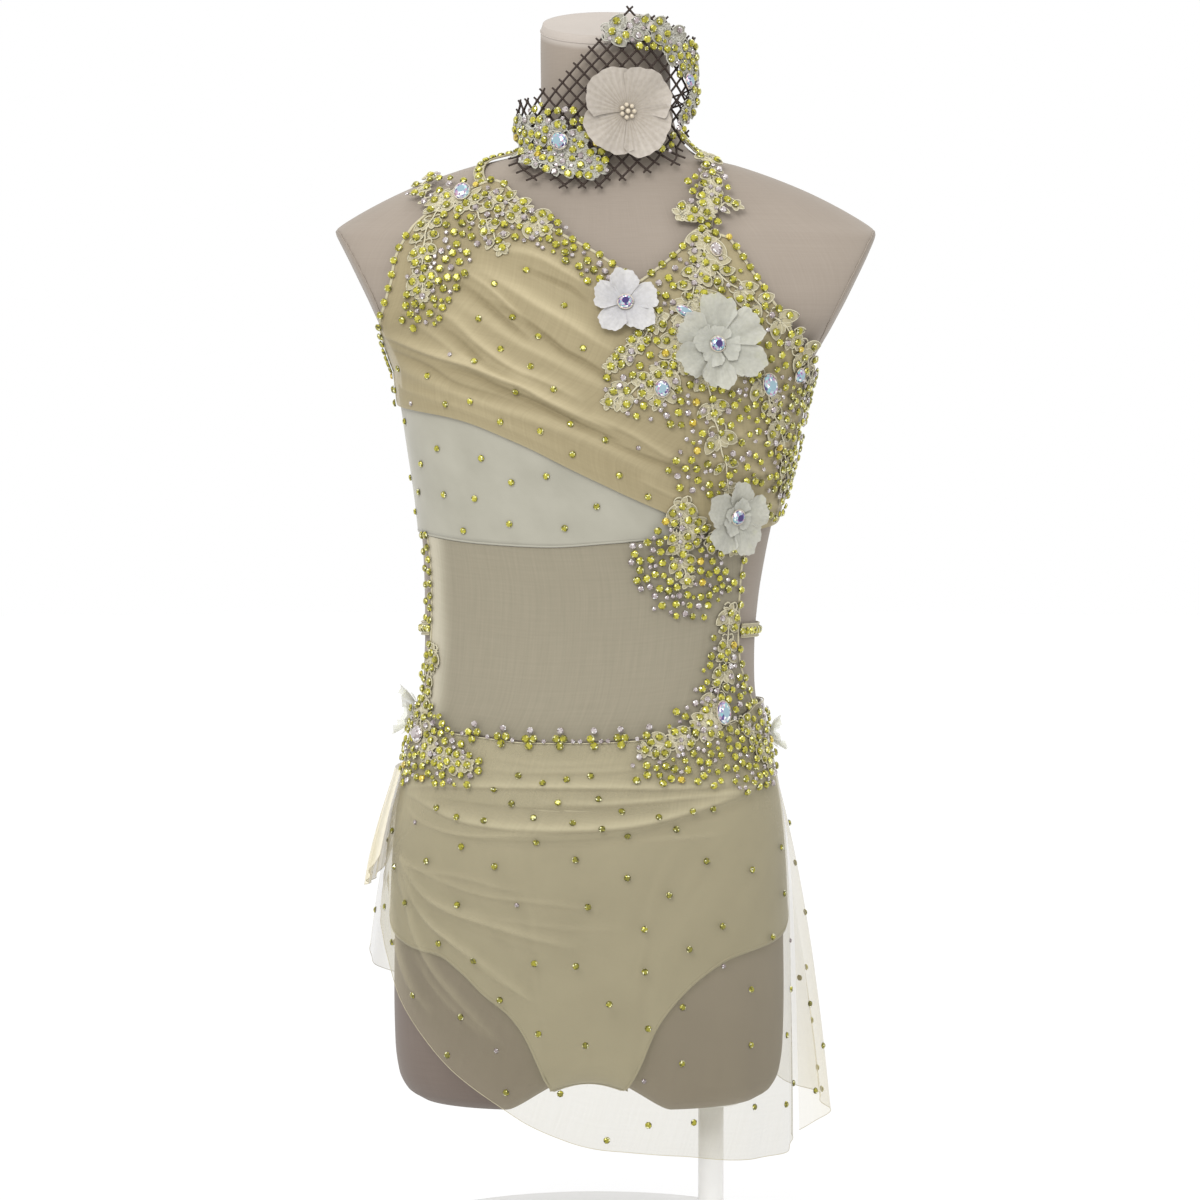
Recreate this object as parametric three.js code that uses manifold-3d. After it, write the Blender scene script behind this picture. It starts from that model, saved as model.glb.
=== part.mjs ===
// A lyrical dance dress on a limbless torso form with a pole and a round base.
// Millimetres, +Z up, the front faces -Y, and the origin is the middle of the base's underside.
// "Left" and "right" are as seen from the front: left is -X, right is +X.
//
// Every piece of cloth is a wall built on the form's surface. A place on it is a turn, in degrees
// from the front towards the right, and a height. A lift moves a place out along the surface.
import * as THREE from "three";
import { mergeVertices } from "three/addons/utils/BufferGeometryUtils.js";
import Module from "manifold-3d";

const wasm = await Module();
wasm.setup();

// ---------------------------------------------------------------- driving dimensions

const FORM_FOOT = 105; // underside of the thighs
const NECK_TILT = 0.32; // how steeply the neck's cap leans forward
const ARCH_RISE = 20; // hollow between the thighs
const ARCH_HALF = 50;
const GROOVE_DEPTH = 9;
const GROOVE_HALF = 38;
const GROOVE_TOP = 175;

const BASE_RADIUS = 150;
const BASE_HEIGHT = 8;
const POLE_RADIUS = 8;
const POLE_X = 72; // the pole enters the right thigh, clear of the briefs
const POLE_Y = 4;
const COLLAR_RADIUS = 19;
const COLLAR_HEIGHT = 6;
const SEAM = 0.3; // gap between neighbouring pieces

const MESH = 1; // thickness of the sheer mesh walls
const SHEET = 1.2; // thickness of lined walls and of the lace
const SKIN = 1.3; // from the form to the first layer
const OVER = 4.1; // from the form to the layer over the first
const LACE_GAP = 0.9; // from a panel to the lace on it
const ON_NET = 2.8; // from the net's inside to the lace on it
const SKIRT_HUNG = 300; // height where the skirt starts to stand away
const HIP_FRONT = 245; // widest height of the form, in front and behind
const HIP_SIDE = 190; // and at its sides

// Sections through the form: half width, depth before and behind the middle, how square the
// outline is, and how far its middle lies to the right and to the back.
const SECTIONS = table("height wide front back square shift fore", [
  [773, 38.5, 39, 39, 2, 5, -7],
  [768, 39.8, 40.5, 40.5, 2, 5, -7],
  [730, 40.2, 41, 41, 2, 5.5, -5],
  [712, 42, 43, 42, 2, 6, -3],
  [700, 47, 45, 45, 2, 6.5, 0],
  [692, 57, 47, 49, 2, 6.5, 2],
  [685, 85, 49, 53, 2.05, 5.5, 3],
  [673, 119, 52, 59, 2.1, 5, 4],
  [660, 146, 56, 64, 2.2, 5, 4],
  [648, 166, 60, 67, 2.3, 5, 4],
  [640, 177, 63, 69, 2.4, 6, 4],
  [625, 181, 68, 72, 2.4, 6.5, 3],
  [608, 176, 73, 74, 2.4, 6.5, 2],
  [592, 162, 78, 75, 2.4, 6, 1],
  [578, 142, 82, 75.5, 2.4, 5.5, 0],
  [560, 130, 86, 75.5, 2.35, 4.5, 0],
  [541, 124, 88, 75, 2.3, 3, 0],
  [510, 118, 85, 72.5, 2.3, 2, 0],
  [479, 112, 79, 68.5, 2.3, 0.5, 0],
  [447, 107, 73.5, 63.5, 2.3, -1.5, 0],
  [416, 104, 69.5, 59.5, 2.3, -3.5, 0],
  [391, 103, 68, 58.5, 2.3, -4.5, 0],
  [366, 103.5, 69.5, 61, 2.3, -5, 0],
  [340, 107, 73, 67.5, 2.3, -5, 0],
  [310, 113, 77.5, 78, 2.3, -5, 0],
  [280, 118, 80.5, 87, 2.3, -5, 0],
  [245, 121, 81.5, 93, 2.35, -5, 0],
  [210, 122.3, 80, 92, 2.4, -5, 0],
  [170, 122.8, 77, 86, 2.4, -5, 0],
  [140, 122, 74.5, 80, 2.4, -5, 0],
  [122, 119.5, 71.5, 76, 2.4, -5, 0],
  [111, 114, 66, 70, 2.4, -5, 0],
  [105, 105, 57, 61, 2.4, -5, 0],
]);

// The flat arm plates cut the shoulders off where they are wider than this.
const PLATE = { low: 560, high: 660, half: 138.5, at: 572, slope: 0.485 };

// Seam line round the waist, where the mesh, the briefs and the skirt meet.
const WAIST = table("turn height", [
  [-120, 352],
  [-90, 351],
  [-67, 339],
  [-48, 336],
  [-26, 333],
  [0, 333],
  [27, 335],
  [47, 339],
  [64, 345],
  [75, 353],
  [90, 354],
  [120, 352],
  [270, 351],
]);

// Edges of the bodice's panels, each from its left or lower end.
const NECKLINE_LEFT = table("turn height", [
  [-66, 655],
  [-60, 668],
  [-53, 670],
  [-39, 653],
  [-26, 640],
  [-4, 625],
  [14, 609],
]);
const ARMHOLE_LEFT = table("turn height", [
  [-92, 540],
  [-91, 558],
  [-80, 571],
  [-70, 590],
  [-67, 607],
  [-67, 628],
  [-66, 655],
]);
const DRAPE_HEM = table("turn height", [
  [-92, 540],
  [-70, 535],
  [-50, 528],
  [-32, 515],
  [-13, 500],
  [3, 489],
  [20, 478],
  [38, 467],
]);
const BUST_SEAM = table("turn height", [
  [38, 467],
  [34, 500],
  [26, 550],
  [14, 609],
]);
const NECKLINE_RIGHT = table("turn height", [
  [14.7, 609],
  [21, 615],
  [33, 628],
  [38, 637],
  [43, 641],
  [50, 636],
]);
const ARMHOLE_RIGHT = table("turn height", [
  [92, 470],
  [92, 540],
  [88, 554],
  [78, 562],
  [68, 567],
  [60, 585],
  [55, 603],
  [50, 636],
]);
const BUST_HEM = table("turn height", [
  [38.7, 462.6],
  [55, 461],
  [75, 464],
  [92, 470],
]);
const BAND_HEM = table("turn height", [
  [-92, 461],
  [-71, 458],
  [-49, 454],
  [-21, 452],
  [3, 454],
  [26, 457],
  [38, 462],
]);
const MESH_LEFT = table("turn height", [
  [-77, 346],
  [-74, 370],
  [-73, 400],
  [-72, 430],
  [-73, 457.6],
]);
const MESH_RIGHT = table("turn height", [
  [75, 353.8],
  [69, 374],
  [67, 389],
  [66, 407],
  [64.6, 426],
  [63.4, 443],
  [65, 460.6],
]);

// Gathers of the bust drape: how far up the drape each ridge lies, from its hem to the neckline,
// and how high it stands.
const BUST_FOLDS = table("across depth", [
  [0.05, 2.8],
  [0.15, 3.8],
  [0.25, 3.2],
  [0.36, 4.4],
  [0.46, 3],
  [0.56, 4],
  [0.66, 3.2],
  [0.76, 3.6],
  [0.86, 2.6],
  [0.95, 1.8],
]);

// Folds of the skirt: each runs from one place to another, bowed down in its middle.
const SWAGS = table("turnA heightA turnB heightB bow depth wide", [
  [-80, 306, 84, 316, 14, 2.6, 4],
  [-80, 298, 84, 306, 18, 3.4, 4.5],
  [-80, 290, 84, 292, 20, 3, 5],
  [-80, 276, 60, 276, 24, 2.4, 6],
  [-82, 256, 10, 196, 16, 3.2, 6],
  [-82, 252, -14, 152, 14, 3.4, 6],
  [-82, 248, -40, 140, 8, 3, 6],
  [-84, 244, -62, 168, 4, 2.6, 5],
]);
// Waves at the front hem, which die out upwards.
const FRONT_WAVES = table("turn wide depth", [
  [-20, 9, 3],
  [4, 8, 2.5],
  [30, 9, 3.5],
  [54, 7, 5],
  [70, 6, 5],
  [81, 3, 2],
]);
const BACK_WAVES = table("turn wide depth", [
  [96, 5, 5],
  [112, 6, 9],
  [130, 7, 8],
  [150, 7, 9],
  [170, 7, 8],
  [190, 7, 9],
  [210, 7, 8],
  [230, 7, 8],
  [250, 6, 7],
]);
const FRONT_HEM = table("turn height", [
  [-88, 224],
  [-76, 200],
  [-68, 172],
  [-58, 149],
  [-48, 131],
  [-33, 113],
  [-22, 103],
  [-3, 91],
  [14, 87],
  [33, 84],
  [50, 79],
  [70, 77],
  [84, 82],
]);
const BACK_HEM = table("turn height", [
  [84, 86],
  [98, 99],
  [120, 104],
  [150, 112],
  [180, 125],
  [210, 142],
  [240, 168],
  [270.6, 200],
]);
// How far the skirt stands out for each millimetre that it hangs.
const FRONT_SPREAD = table("turn out", [
  [-88, 0.06],
  [-60, 0.02],
  [40, 0.02],
  [84, 0],
]);
const BACK_SPREAD = table("turn out", [
  [84, 0.02],
  [90, 0.07],
  [98, 0.11],
  [125, 0.13],
  [180, 0.09],
  [230, 0.09],
  [262, 0.12],
  [272, 0.1],
]);
const TAIL_HEM = table("turn height", [
  [-114, 262],
  [-104, 238],
  [-94, 236],
  [-84, 252],
]);
const TAIL_WAVES = table("turn wide depth", [
  [-108, 3, 5],
  [-97, 3.5, 6],
  [-87, 3, 4],
]);

// Leg openings and crotch of the briefs, front and back.
const BRIEFS_FRONT_HEM = table("turn height", [
  [-92, 222],
  [-66, 205],
  [-56, 202],
  [-49, 193],
  [-42, 180],
  [-33, 167],
  [-27, 152],
  [-22, 128],
  [-20, 110],
  [0, 109],
  [19, 110],
  [22, 126],
  [28, 156],
  [36, 176],
  [44, 190],
  [54, 201],
  [73, 209],
  [92, 222],
]);
const BRIEFS_BACK_HEM = table("turn height", [
  [92.4, 222],
  [112, 206],
  [130, 184],
  [146, 158],
  [158, 128],
  [163, 110],
  [180, 109],
  [197, 110],
  [202, 128],
  [214, 158],
  [230, 184],
  [248, 206],
  [267.6, 222],
]);

// The neckpiece stands round the neck on a ring of its own.
const NECK_RING = { x: 6, y: -3, wide: 55, front: 49, back: 46.5, foot: 705, clear: 4.6 };
const NET_PITCH = 9.6; // from knot to knot
const NET_CORD = 1.6;
const NET_OUTLINE = table("turn height", [
  [-69, 688],
  [-50, 680],
  [-31, 674],
  [2, 675],
  [21, 681],
  [43, 688],
  [60, 703],
  [66, 718],
  [82, 734],
  [90, 746],
  [70, 762],
  [40, 775],
  [12, 777],
  [-6, 757],
  [-21, 739],
  [-48, 723],
  [-80, 719],
]);

// Lace motifs: vines of paired leaves. Each row is one vine through three places.
const VINES = table("piece turnA heightA turnB heightB turnC heightC pairs leaf", [
  ["lace_shoulder_left", -65, 660, -50, 658, -30, 640, 4, 13],
  ["lace_shoulder_left", -65, 662, -63, 634, -60, 600, 4, 12],
  ["lace_shoulder_left", -60, 658, -51, 644, -44, 628, 2, 11],
  ["lace_bust_right", 44, 636, 33, 596, 20, 536, 5, 15],
  ["lace_bust_right", 40, 622, 60, 582, 84, 540, 5, 15],
  ["lace_bust_right", 36, 600, 56, 546, 80, 482, 5, 15],
  ["lace_bust_right", 32, 590, 40, 532, 50, 486, 3, 15],
  ["lace_under_bust", 34, 478, 36, 452, 42, 430, 3, 12],
  ["lace_under_bust", 37, 464, 48, 456, 58, 450, 2, 12],
  ["lace_waist_right", 61, 412, 60, 376, 50, 342, 4, 12],
  ["lace_waist_right", 51, 344, 42, 336, 24, 328, 3, 12],
  ["lace_waist_right", 50, 344, 66, 340, 74, 316, 3, 12],
  ["lace_hip_left", -71, 386, -74, 354, -66, 326, 4, 11],
  ["lace_hip_left", -67, 328, -60, 322, -48, 318, 3, 11],
  ["lace_strap_right", 60, 685, 53, 668, 47, 650, 3, 10],
]);
const NECK_VINES = table("piece turnA heightA turnB heightB turnC heightC pairs leaf", [
  ["lace_neck_low", -84, 703, -48, 700, -14, 686, 4, 12],
  ["lace_neck_low", -40, 700, -36, 690, -24, 680, 1, 9],
  ["lace_neck_high", 10, 768, 40, 768, 74, 750, 3, 12],
  ["lace_neck_high", 70, 752, 74, 732, 62, 712, 2, 10],
]);

// Flowers and large stones, each so far above the lace.
const FLOWERS = table("name turn height above radius petals on", [
  ["flower_neckline", 8, 595, 1.2, 19.5, 5, "form"],
  ["flower_bust", 40, 572, 1.2, 28, 6, "form"],
  ["flower_ribs", 54, 471, 1.2, 22.5, 5, "form"],
  ["flower_neck", 17, 721, 0.8, 26.5, 4, "ring"],
  ["flower_hip_left", -93, 345, 1.2, 14, 5, "form"],
  ["flower_hip_right", 87, 331, 1.2, 9.5, 5, "form"],
]);
const CRYSTALS = table("name turn height above long wide spin on", [
  ["crystal_shoulder", -62, 663, 0.8, 12, 10, 10, "form"],
  ["crystal_neckline", 45, 628, 0.6, 9, 6.5, 20, "form"],
  ["crystal_bust_inner", 31, 590, 0.8, 12, 6.5, 60, "form"],
  ["crystal_bust_low", 22, 546, 0.8, 10, 9, 0, "form"],
  ["crystal_bust_side", 57, 550, 0.8, 15, 10, 30, "form"],
  ["crystal_bust_edge", 67, 557, 0.8, 9, 8, 0, "form"],
  ["crystal_waist", 56, 349, 2, 14, 10, 0, "form"],
  ["crystal_hip", -71, 334, 0.8, 12, 10, 80, "form"],
  ["crystal_neck_low", -31, 697, 1.6, 12, 10, 70, "ring"],
  ["crystal_neck_high", 60, 735, 0.6, 9, 8, 0, "ring"],
]);

const COLOURS = {
  linen: 0xb0a596,
  stand: 0xe9e8e5,
  nude: 0xa49c88,
  white: 0xd5d8d0,
  cream: 0xc6ba94,
  net: 0x2c2119,
  lace: 0xd3cdb8,
  petal: 0xe6e5dd,
  crystal: 0xcfd4e4,
};

// ---------------------------------------------------------------- tables and curves

function table(columns, rows) {
  const names = columns.split(" ");
  return rows.map((row) => Object.fromEntries(names.map((name, i) => [name, row[i]])));
}

const slopes = new Map();

// A smooth curve through a table's rows that never swings past them.
function follow(rows, key, column, at) {
  const label = key + column;
  if (!slopes.has(rows)) slopes.set(rows, {});
  const known = slopes.get(rows);
  if (!known[label]) {
    const sorted = [...rows].sort((a, b) => a[key] - b[key]);
    const x = sorted.map((row) => row[key]);
    const y = sorted.map((row) => row[column]);
    const rise = x.slice(1).map((_, i) => (y[i + 1] - y[i]) / (x[i + 1] - x[i]));
    const slope = y.map((_, i) => {
      if (i === 0) return rise[0];
      if (i === rise.length) return rise[i - 1];
      const product = rise[i - 1] * rise[i];
      return product <= 0 ? 0 : (2 * product) / (rise[i - 1] + rise[i]);
    });
    known[label] = { x, y, slope };
  }
  const { x, y, slope } = known[label];
  const last = x.length - 1;
  if (at <= x[0]) return y[0];
  if (at >= x[last]) return y[last];
  let i = 0;
  while (at > x[i + 1]) i += 1;
  const step = x[i + 1] - x[i];
  const t = (at - x[i]) / step;
  const rest = 1 - t;
  return (
    y[i] * (1 + 2 * t) * rest * rest +
    slope[i] * step * t * rest * rest +
    y[i + 1] * t * t * (3 - 2 * t) -
    slope[i + 1] * step * t * t * rest
  );
}

function clamp(value, low = 0, high = 1) {
  return Math.min(high, Math.max(low, value));
}

function smoothstep(from, to, value) {
  const t = clamp((value - from) / (to - from));
  return t * t * (3 - 2 * t);
}

function edge(rows) {
  const curve = new THREE.SplineCurve(rows.map((row) => new THREE.Vector2(row.turn, row.height)));
  return (t) => curve.getPointAt(clamp(t));
}

// ---------------------------------------------------------------- the form's surface

function arch(x) {
  return ARCH_RISE * Math.max(0, 1 - (x / ARCH_HALF) ** 2) ** 1.5;
}

function figure(turn, height) {
  const at = (column) => follow(SECTIONS, "height", column, height);
  const angle = THREE.MathUtils.degToRad(turn);
  const sine = Math.sin(angle);
  const cosine = Math.cos(angle);
  const power = at("square");
  const depth = cosine > 0 ? at("front") : at("back");
  const reach =
    (Math.abs(sine / at("wide")) ** power + Math.abs(cosine / depth) ** power) ** (-1 / power);
  let x = reach * sine;
  let y = -reach * cosine;
  if (height > PLATE.low && height < PLATE.high) {
    const half = PLATE.half + PLATE.slope * (height - PLATE.at);
    x = clamp(x, -half, half);
  }
  const low = clamp((GROOVE_TOP - height) / (GROOVE_TOP - FORM_FOOT));
  const groove = GROOVE_DEPTH * Math.exp(-((x / GROOVE_HALF) ** 2)) * low ** 1.5;
  y -= Math.sign(y) * Math.min(groove, 0.4 * Math.abs(y));
  const lean = NECK_TILT * clamp((height - 705) / 60);
  const z = height + lean * y + arch(x) * low * low;
  return new THREE.Vector3(x + at("shift"), y + at("fore"), z);
}

function cloth(turn, height, lift) {
  const across = figure(turn + 0.6, height).sub(figure(turn - 0.6, height));
  const up = figure(turn, height + 1).sub(figure(turn, height - 1));
  const out = across.cross(up).normalize();
  return figure(turn, height).addScaledVector(out, lift);
}

// The neckpiece's own surface: an oval ring, which rests on the form where that is wider.
function ring(turn, height, lift) {
  const angle = THREE.MathUtils.degToRad(turn);
  const sine = Math.sin(angle);
  const cosine = Math.cos(angle);
  const depth = cosine > 0 ? NECK_RING.front : NECK_RING.back;
  const oval = 1 / Math.hypot(sine / NECK_RING.wide, cosine / depth);
  const skin = figure(turn, height);
  const body = Math.hypot(skin.x - NECK_RING.x, skin.y - NECK_RING.y) + NECK_RING.clear;
  const reach = Math.max(oval, height < NECK_RING.foot ? body : 0) + lift;
  return new THREE.Vector3(NECK_RING.x + reach * sine, NECK_RING.y - reach * cosine, height);
}

// Cloth that follows the hips and hangs free below their widest part.
function hang(turn, height, lift, out) {
  const angle = THREE.MathUtils.degToRad(turn);
  const leaves = HIP_FRONT + (HIP_SIDE - HIP_FRONT) * Math.sin(angle) ** 2;
  const place = cloth(turn, Math.max(height, leaves), lift);
  place.x += out * Math.sin(angle);
  place.y -= out * Math.cos(angle);
  place.z = height;
  return place;
}

// ---------------------------------------------------------------- solids

function geometryOf(places, triangles) {
  const geometry = new THREE.BufferGeometry();
  geometry.setAttribute(
    "position",
    new THREE.Float32BufferAttribute(places.flatMap((place) => place.toArray()), 3),
  );
  geometry.setIndex(triangles.flat());
  return geometry;
}

// A closed wall: faces over points (u, v), once on its inside and once on its outside, with a
// strip along every open edge. place(u, v, side) gives side 0 inside and side 1 outside.
function slab({ points, faces }, place) {
  const places = [0, 1].flatMap((side) => points.map(([u, v]) => place(u, v, side)));
  const count = points.length;
  const triangles = [];
  const open = new Map();
  for (const face of faces) {
    for (let i = 1; i < face.length - 1; i += 1) {
      const [a, b, c] = [face[0], face[i], face[i + 1]];
      triangles.push([a + count, b + count, c + count], [a, c, b]);
    }
    face.forEach((a, i) => {
      const b = face[(i + 1) % face.length];
      if (!open.delete(b + "," + a)) open.set(a + "," + b, [a, b]);
    });
  }
  for (const [a, b] of open.values()) {
    triangles.push([a, b, b + count], [a, b + count, a + count]);
  }
  return geometryOf(places, triangles);
}

// Points and faces of a grid over the unit square, at the given shares of its two sides.
function grid(across, up) {
  const points = up.flatMap((v) => across.map((u) => [u, v]));
  const faces = [];
  for (let row = 0; row < up.length - 1; row += 1) {
    for (let column = 0; column < across.length - 1; column += 1) {
      const a = row * across.length + column;
      faces.push([a, a + 1, a + 1 + across.length, a + across.length]);
    }
  }
  return { points, faces };
}

function shares(count) {
  return Array.from({ length: count + 1 }, (_, i) => i / count);
}

// Spreads four edges over the panel between them.
function between(bottom, top, left, right) {
  const [low, high, first, last] = [bottom, top, left, right].map(edge);
  return (u, v) => {
    const ruled = low(u).multiplyScalar(1 - v).addScaledVector(high(u), v);
    const sides = first(v).multiplyScalar(1 - u).addScaledVector(last(v), u);
    const corners = low(0)
      .multiplyScalar((1 - u) * (1 - v))
      .addScaledVector(low(1), u * (1 - v))
      .addScaledVector(high(0), (1 - u) * v)
      .addScaledVector(high(1), u * v);
    return ruled.add(sides).sub(corners);
  };
}

function shifted(rows, turn, height) {
  return rows.map((row) => ({ turn: row.turn + turn, height: row.height + height }));
}

// A cloth strip on a surface along a route of turns and heights.
function ribbon(rows, wide, steps, place) {
  const route = edge(rows);
  return slab(grid(shares(steps), [0, 1]), (u, v, side) => {
    const here = route(u);
    const ahead = route(u + 0.01).sub(route(u - 0.01));
    const scale = stretch(here.x, here.y, place);
    const along = new THREE.Vector2(ahead.x * scale.x, ahead.y * scale.y).normalize();
    const off = (v - 0.5) * wide;
    const turn = here.x - (along.y * off) / scale.x;
    const height = here.y + (along.x * off) / scale.y;
    return place(turn, height, side);
  });
}

// Millimetres of surface for one degree of turn and one millimetre of height.
function stretch(turn, height, place) {
  return {
    x: place(turn + 0.5, height, 0).distanceTo(place(turn - 0.5, height, 0)),
    y: place(turn, height + 0.5, 0).distanceTo(place(turn, height - 0.5, 0)),
  };
}

function toSolid(geometry) {
  const clean = geometry.clone();
  clean.deleteAttribute("normal");
  clean.deleteAttribute("uv");
  const merged = mergeVertices(clean, 1e-4);
  return new wasm.Manifold(
    new wasm.Mesh({
      numProp: 3,
      vertProperties: Float32Array.from(merged.attributes.position.array),
      triVerts: Uint32Array.from(merged.index.array),
    }),
  );
}

function fromSolid(solid) {
  const mesh = solid.getMesh();
  const geometry = new THREE.BufferGeometry();
  geometry.setAttribute("position", new THREE.BufferAttribute(mesh.vertProperties, 3));
  geometry.setIndex(new THREE.BufferAttribute(mesh.triVerts, 1));
  return geometry;
}

function joined(geometries) {
  return fromSolid(geometries.map(toSolid).reduce((all, one) => all.add(one)));
}

// ---------------------------------------------------------------- form and stand

function formGeometry() {
  const around = 32;
  const heights = [...SECTIONS.map((row) => row.height)].reverse();
  const turns = Array.from({ length: around }, (_, i) => (i * 360) / around);
  const foot = turns.map((turn) => figure(turn, FORM_FOOT));
  const middle = SECTIONS.at(-1).shift;
  const under = [0.25, 0.5, 0.75].map((share) =>
    foot.map((place) => {
      const x = (place.x - middle) * share;
      return new THREE.Vector3(middle + x, place.y * share, FORM_FOOT + arch(x));
    }),
  );
  const rings = [...under, ...heights.map((height) => turns.map((turn) => figure(turn, height)))];
  const places = [new THREE.Vector3(middle, 0, FORM_FOOT + arch(0)), ...rings.flat()];
  const cap = rings.at(-1);
  const crown = cap.reduce((sum, place) => sum.add(place), new THREE.Vector3());
  places.push(crown.divideScalar(around));
  const triangles = [];
  const at = (row, column) => 1 + row * around + (column % around);
  for (let i = 0; i < around; i += 1) {
    triangles.push([at(0, i + 1), at(0, i), 0]);
    triangles.push([at(rings.length - 1, i), at(rings.length - 1, i + 1), places.length - 1]);
    for (let row = 0; row < rings.length - 1; row += 1) {
      const [a, b] = [at(row, i), at(row, i + 1)];
      const [c, d] = [at(row + 1, i + 1), at(row + 1, i)];
      triangles.push([a, b, c], [a, c, d]);
    }
  }
  return geometryOf(places, triangles);
}

function upright(radius, height, bottom, x, y, sides) {
  const geometry = new THREE.CylinderGeometry(radius, radius, height, sides);
  geometry.rotateX(Math.PI / 2);
  geometry.translate(x, y, bottom + height / 2);
  return geometry;
}

function baseGeometry() {
  const bevel = 1.5;
  const profile = [
    [0, 0],
    [BASE_RADIUS, 0],
    [BASE_RADIUS, BASE_HEIGHT - bevel],
    [BASE_RADIUS - bevel, BASE_HEIGHT],
    [0, BASE_HEIGHT],
  ].map(([radius, height]) => new THREE.Vector2(radius, height));
  return new THREE.LatheGeometry(profile, 30).rotateX(Math.PI / 2);
}

// ---------------------------------------------------------------- bodice

function onForm(lift, thick) {
  return (turn, height, side) => cloth(turn, height, lift + side * thick);
}

function panel(spread, columns, rows, place) {
  return slab(grid(shares(columns), shares(rows)), (u, v, side) => {
    const here = spread(u, v);
    return place(here.x, here.y, side);
  });
}

// The drape's gathers: full height in the middle of the drape, lower where they are sewn in.
function gather(u, v) {
  const ridge = BUST_FOLDS.reduce((most, fold) => {
    const near = 1 - Math.abs(v - fold.across) / 0.05;
    return Math.max(most, fold.depth * Math.max(0, near));
  }, 0);
  return ridge * (0.3 + 0.7 * Math.sin(Math.PI * clamp(u, 0.04, 0.96)));
}

function drapeGeometry() {
  const spread = between(DRAPE_HEM, NECKLINE_LEFT, ARMHOLE_LEFT, BUST_SEAM);
  const rows = [0];
  for (const [i, fold] of BUST_FOLDS.entries()) {
    const next = BUST_FOLDS[i + 1]?.across ?? 1;
    rows.push(fold.across, (fold.across + next) / 2);
  }
  rows[rows.length - 1] = 1;
  return slab(grid(shares(12), rows), (u, v, side) => {
    const here = spread(u, v);
    const tucked = 0.9 * (1 - smoothstep(0, 0.15, u)); // lower at the side seam
    return cloth(here.x, here.y, OVER - tucked + side * SHEET + gather(u, v));
  });
}

function bandGeometry() {
  const hidden = shifted(DRAPE_HEM, 0, 11);
  const left = [BAND_HEM[0], hidden[0]];
  const right = [BAND_HEM.at(-1), hidden.at(-1)];
  return panel(between(BAND_HEM, hidden, left, right), 16, 3, onForm(SKIN, SHEET));
}

function bustGeometry() {
  const seam = shifted(BUST_SEAM, 0.7, 0);
  seam[0] = BUST_HEM[0];
  const spread = between(BUST_HEM, NECKLINE_RIGHT, seam, ARMHOLE_RIGHT);
  return panel(spread, 8, 10, onForm(OVER, SHEET));
}

function midriffGeometry() {
  const band = shifted(BAND_HEM, 0, -1).slice(1);
  const top = [MESH_LEFT.at(-1), ...band, MESH_RIGHT.at(-1)];
  const waist = shifted(WAIST, 0, 0.8).filter((row) => row.turn > -70 && row.turn < 70);
  const bottom = [MESH_LEFT[0], ...waist, MESH_RIGHT[0]];
  return panel(between(bottom, top, MESH_LEFT, MESH_RIGHT), 16, 5, onForm(SKIN, MESH));
}

function backBandGeometry() {
  const top = table("turn height", [
    [92.4, 538],
    [130, 516],
    [180, 508],
    [230, 516],
    [267.6, 538],
  ]);
  const bottom = table("turn height", [
    [92.4, 472],
    [130, 470],
    [180, 470],
    [230, 470],
    [267.6, 463],
  ]);
  const left = [bottom[0], top[0]];
  const right = [bottom.at(-1), top.at(-1)];
  return panel(between(bottom, top, left, right), 18, 2, onForm(SKIN, SHEET));
}

// ---------------------------------------------------------------- briefs

function ruled(hem, waist, columns, rows, place) {
  const from = hem[0].turn;
  const to = hem.at(-1).turn;
  return slab(grid(columns, rows), (u, v, side) => {
    const turn = from + (to - from) * u;
    const low = follow(hem, "turn", "height", turn);
    const high = waist(turn);
    return place(turn, low + (high - low) * v, side);
  });
}

// Shares of a table's turns, with more between rows that are far apart.
function tableShares(rows, widest) {
  const from = rows[0].turn;
  const length = rows.at(-1).turn - from;
  const all = rows.slice(1).flatMap((row, i) => {
    const gap = row.turn - rows[i].turn;
    const parts = Math.ceil(gap / widest);
    return shares(parts).slice(1).map((share) => (rows[i].turn - from + gap * share) / length);
  });
  return [0, ...all];
}

function waistAt(turn, drop) {
  return follow(WAIST, "turn", "height", turn) - drop;
}

function briefs(hem) {
  const rows = shares(8).map((share) => share ** 1.3); // closer where the form rounds under
  const place = (turn, height, side) => {
    const loose = 1.1 + 1.8 * smoothstep(165, 128, height);
    return cloth(turn, height, SKIN + loose + side * MESH);
  };
  return ruled(hem, (turn) => waistAt(turn, 0.6), tableShares(hem, 12), rows, place);
}

// The strip between the legs, from the front panel's end to the back panel's.
function gussetGeometry() {
  const half = 24;
  const length = { front: -46, back: 50 };
  return slab(grid(shares(4), shares(6)), (u, v, side) => {
    const x = (u - 0.5) * 2 * half;
    const y = length.back + (length.front - length.back) * v;
    const under = FORM_FOOT + arch(x) - 2 * SKIN - side * MESH;
    return new THREE.Vector3(x + SECTIONS.at(-1).shift, y, under);
  });
}

// ---------------------------------------------------------------- skirt

const DEGREE = 1.7; // about one degree of turn round the hips, in millimetres

function swag(turn, height) {
  return SWAGS.reduce((sum, fold) => {
    const ax = fold.turnA * DEGREE;
    const bx = fold.turnB * DEGREE;
    const run = Math.hypot(bx - ax, fold.heightB - fold.heightA);
    const ux = (bx - ax) / run;
    const uy = (fold.heightB - fold.heightA) / run;
    const dx = turn * DEGREE - ax;
    const dy = height - fold.heightA;
    const share = (dx * ux + dy * uy) / run;
    if (share <= 0 || share >= 1) return sum;
    const off = dy * ux - dx * uy + fold.bow * 4 * share * (1 - share);
    const fade = Math.sin(Math.PI * share) ** 0.5;
    return sum + fold.depth * fade * Math.exp(-((off / fold.wide) ** 2));
  }, 0);
}

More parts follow.
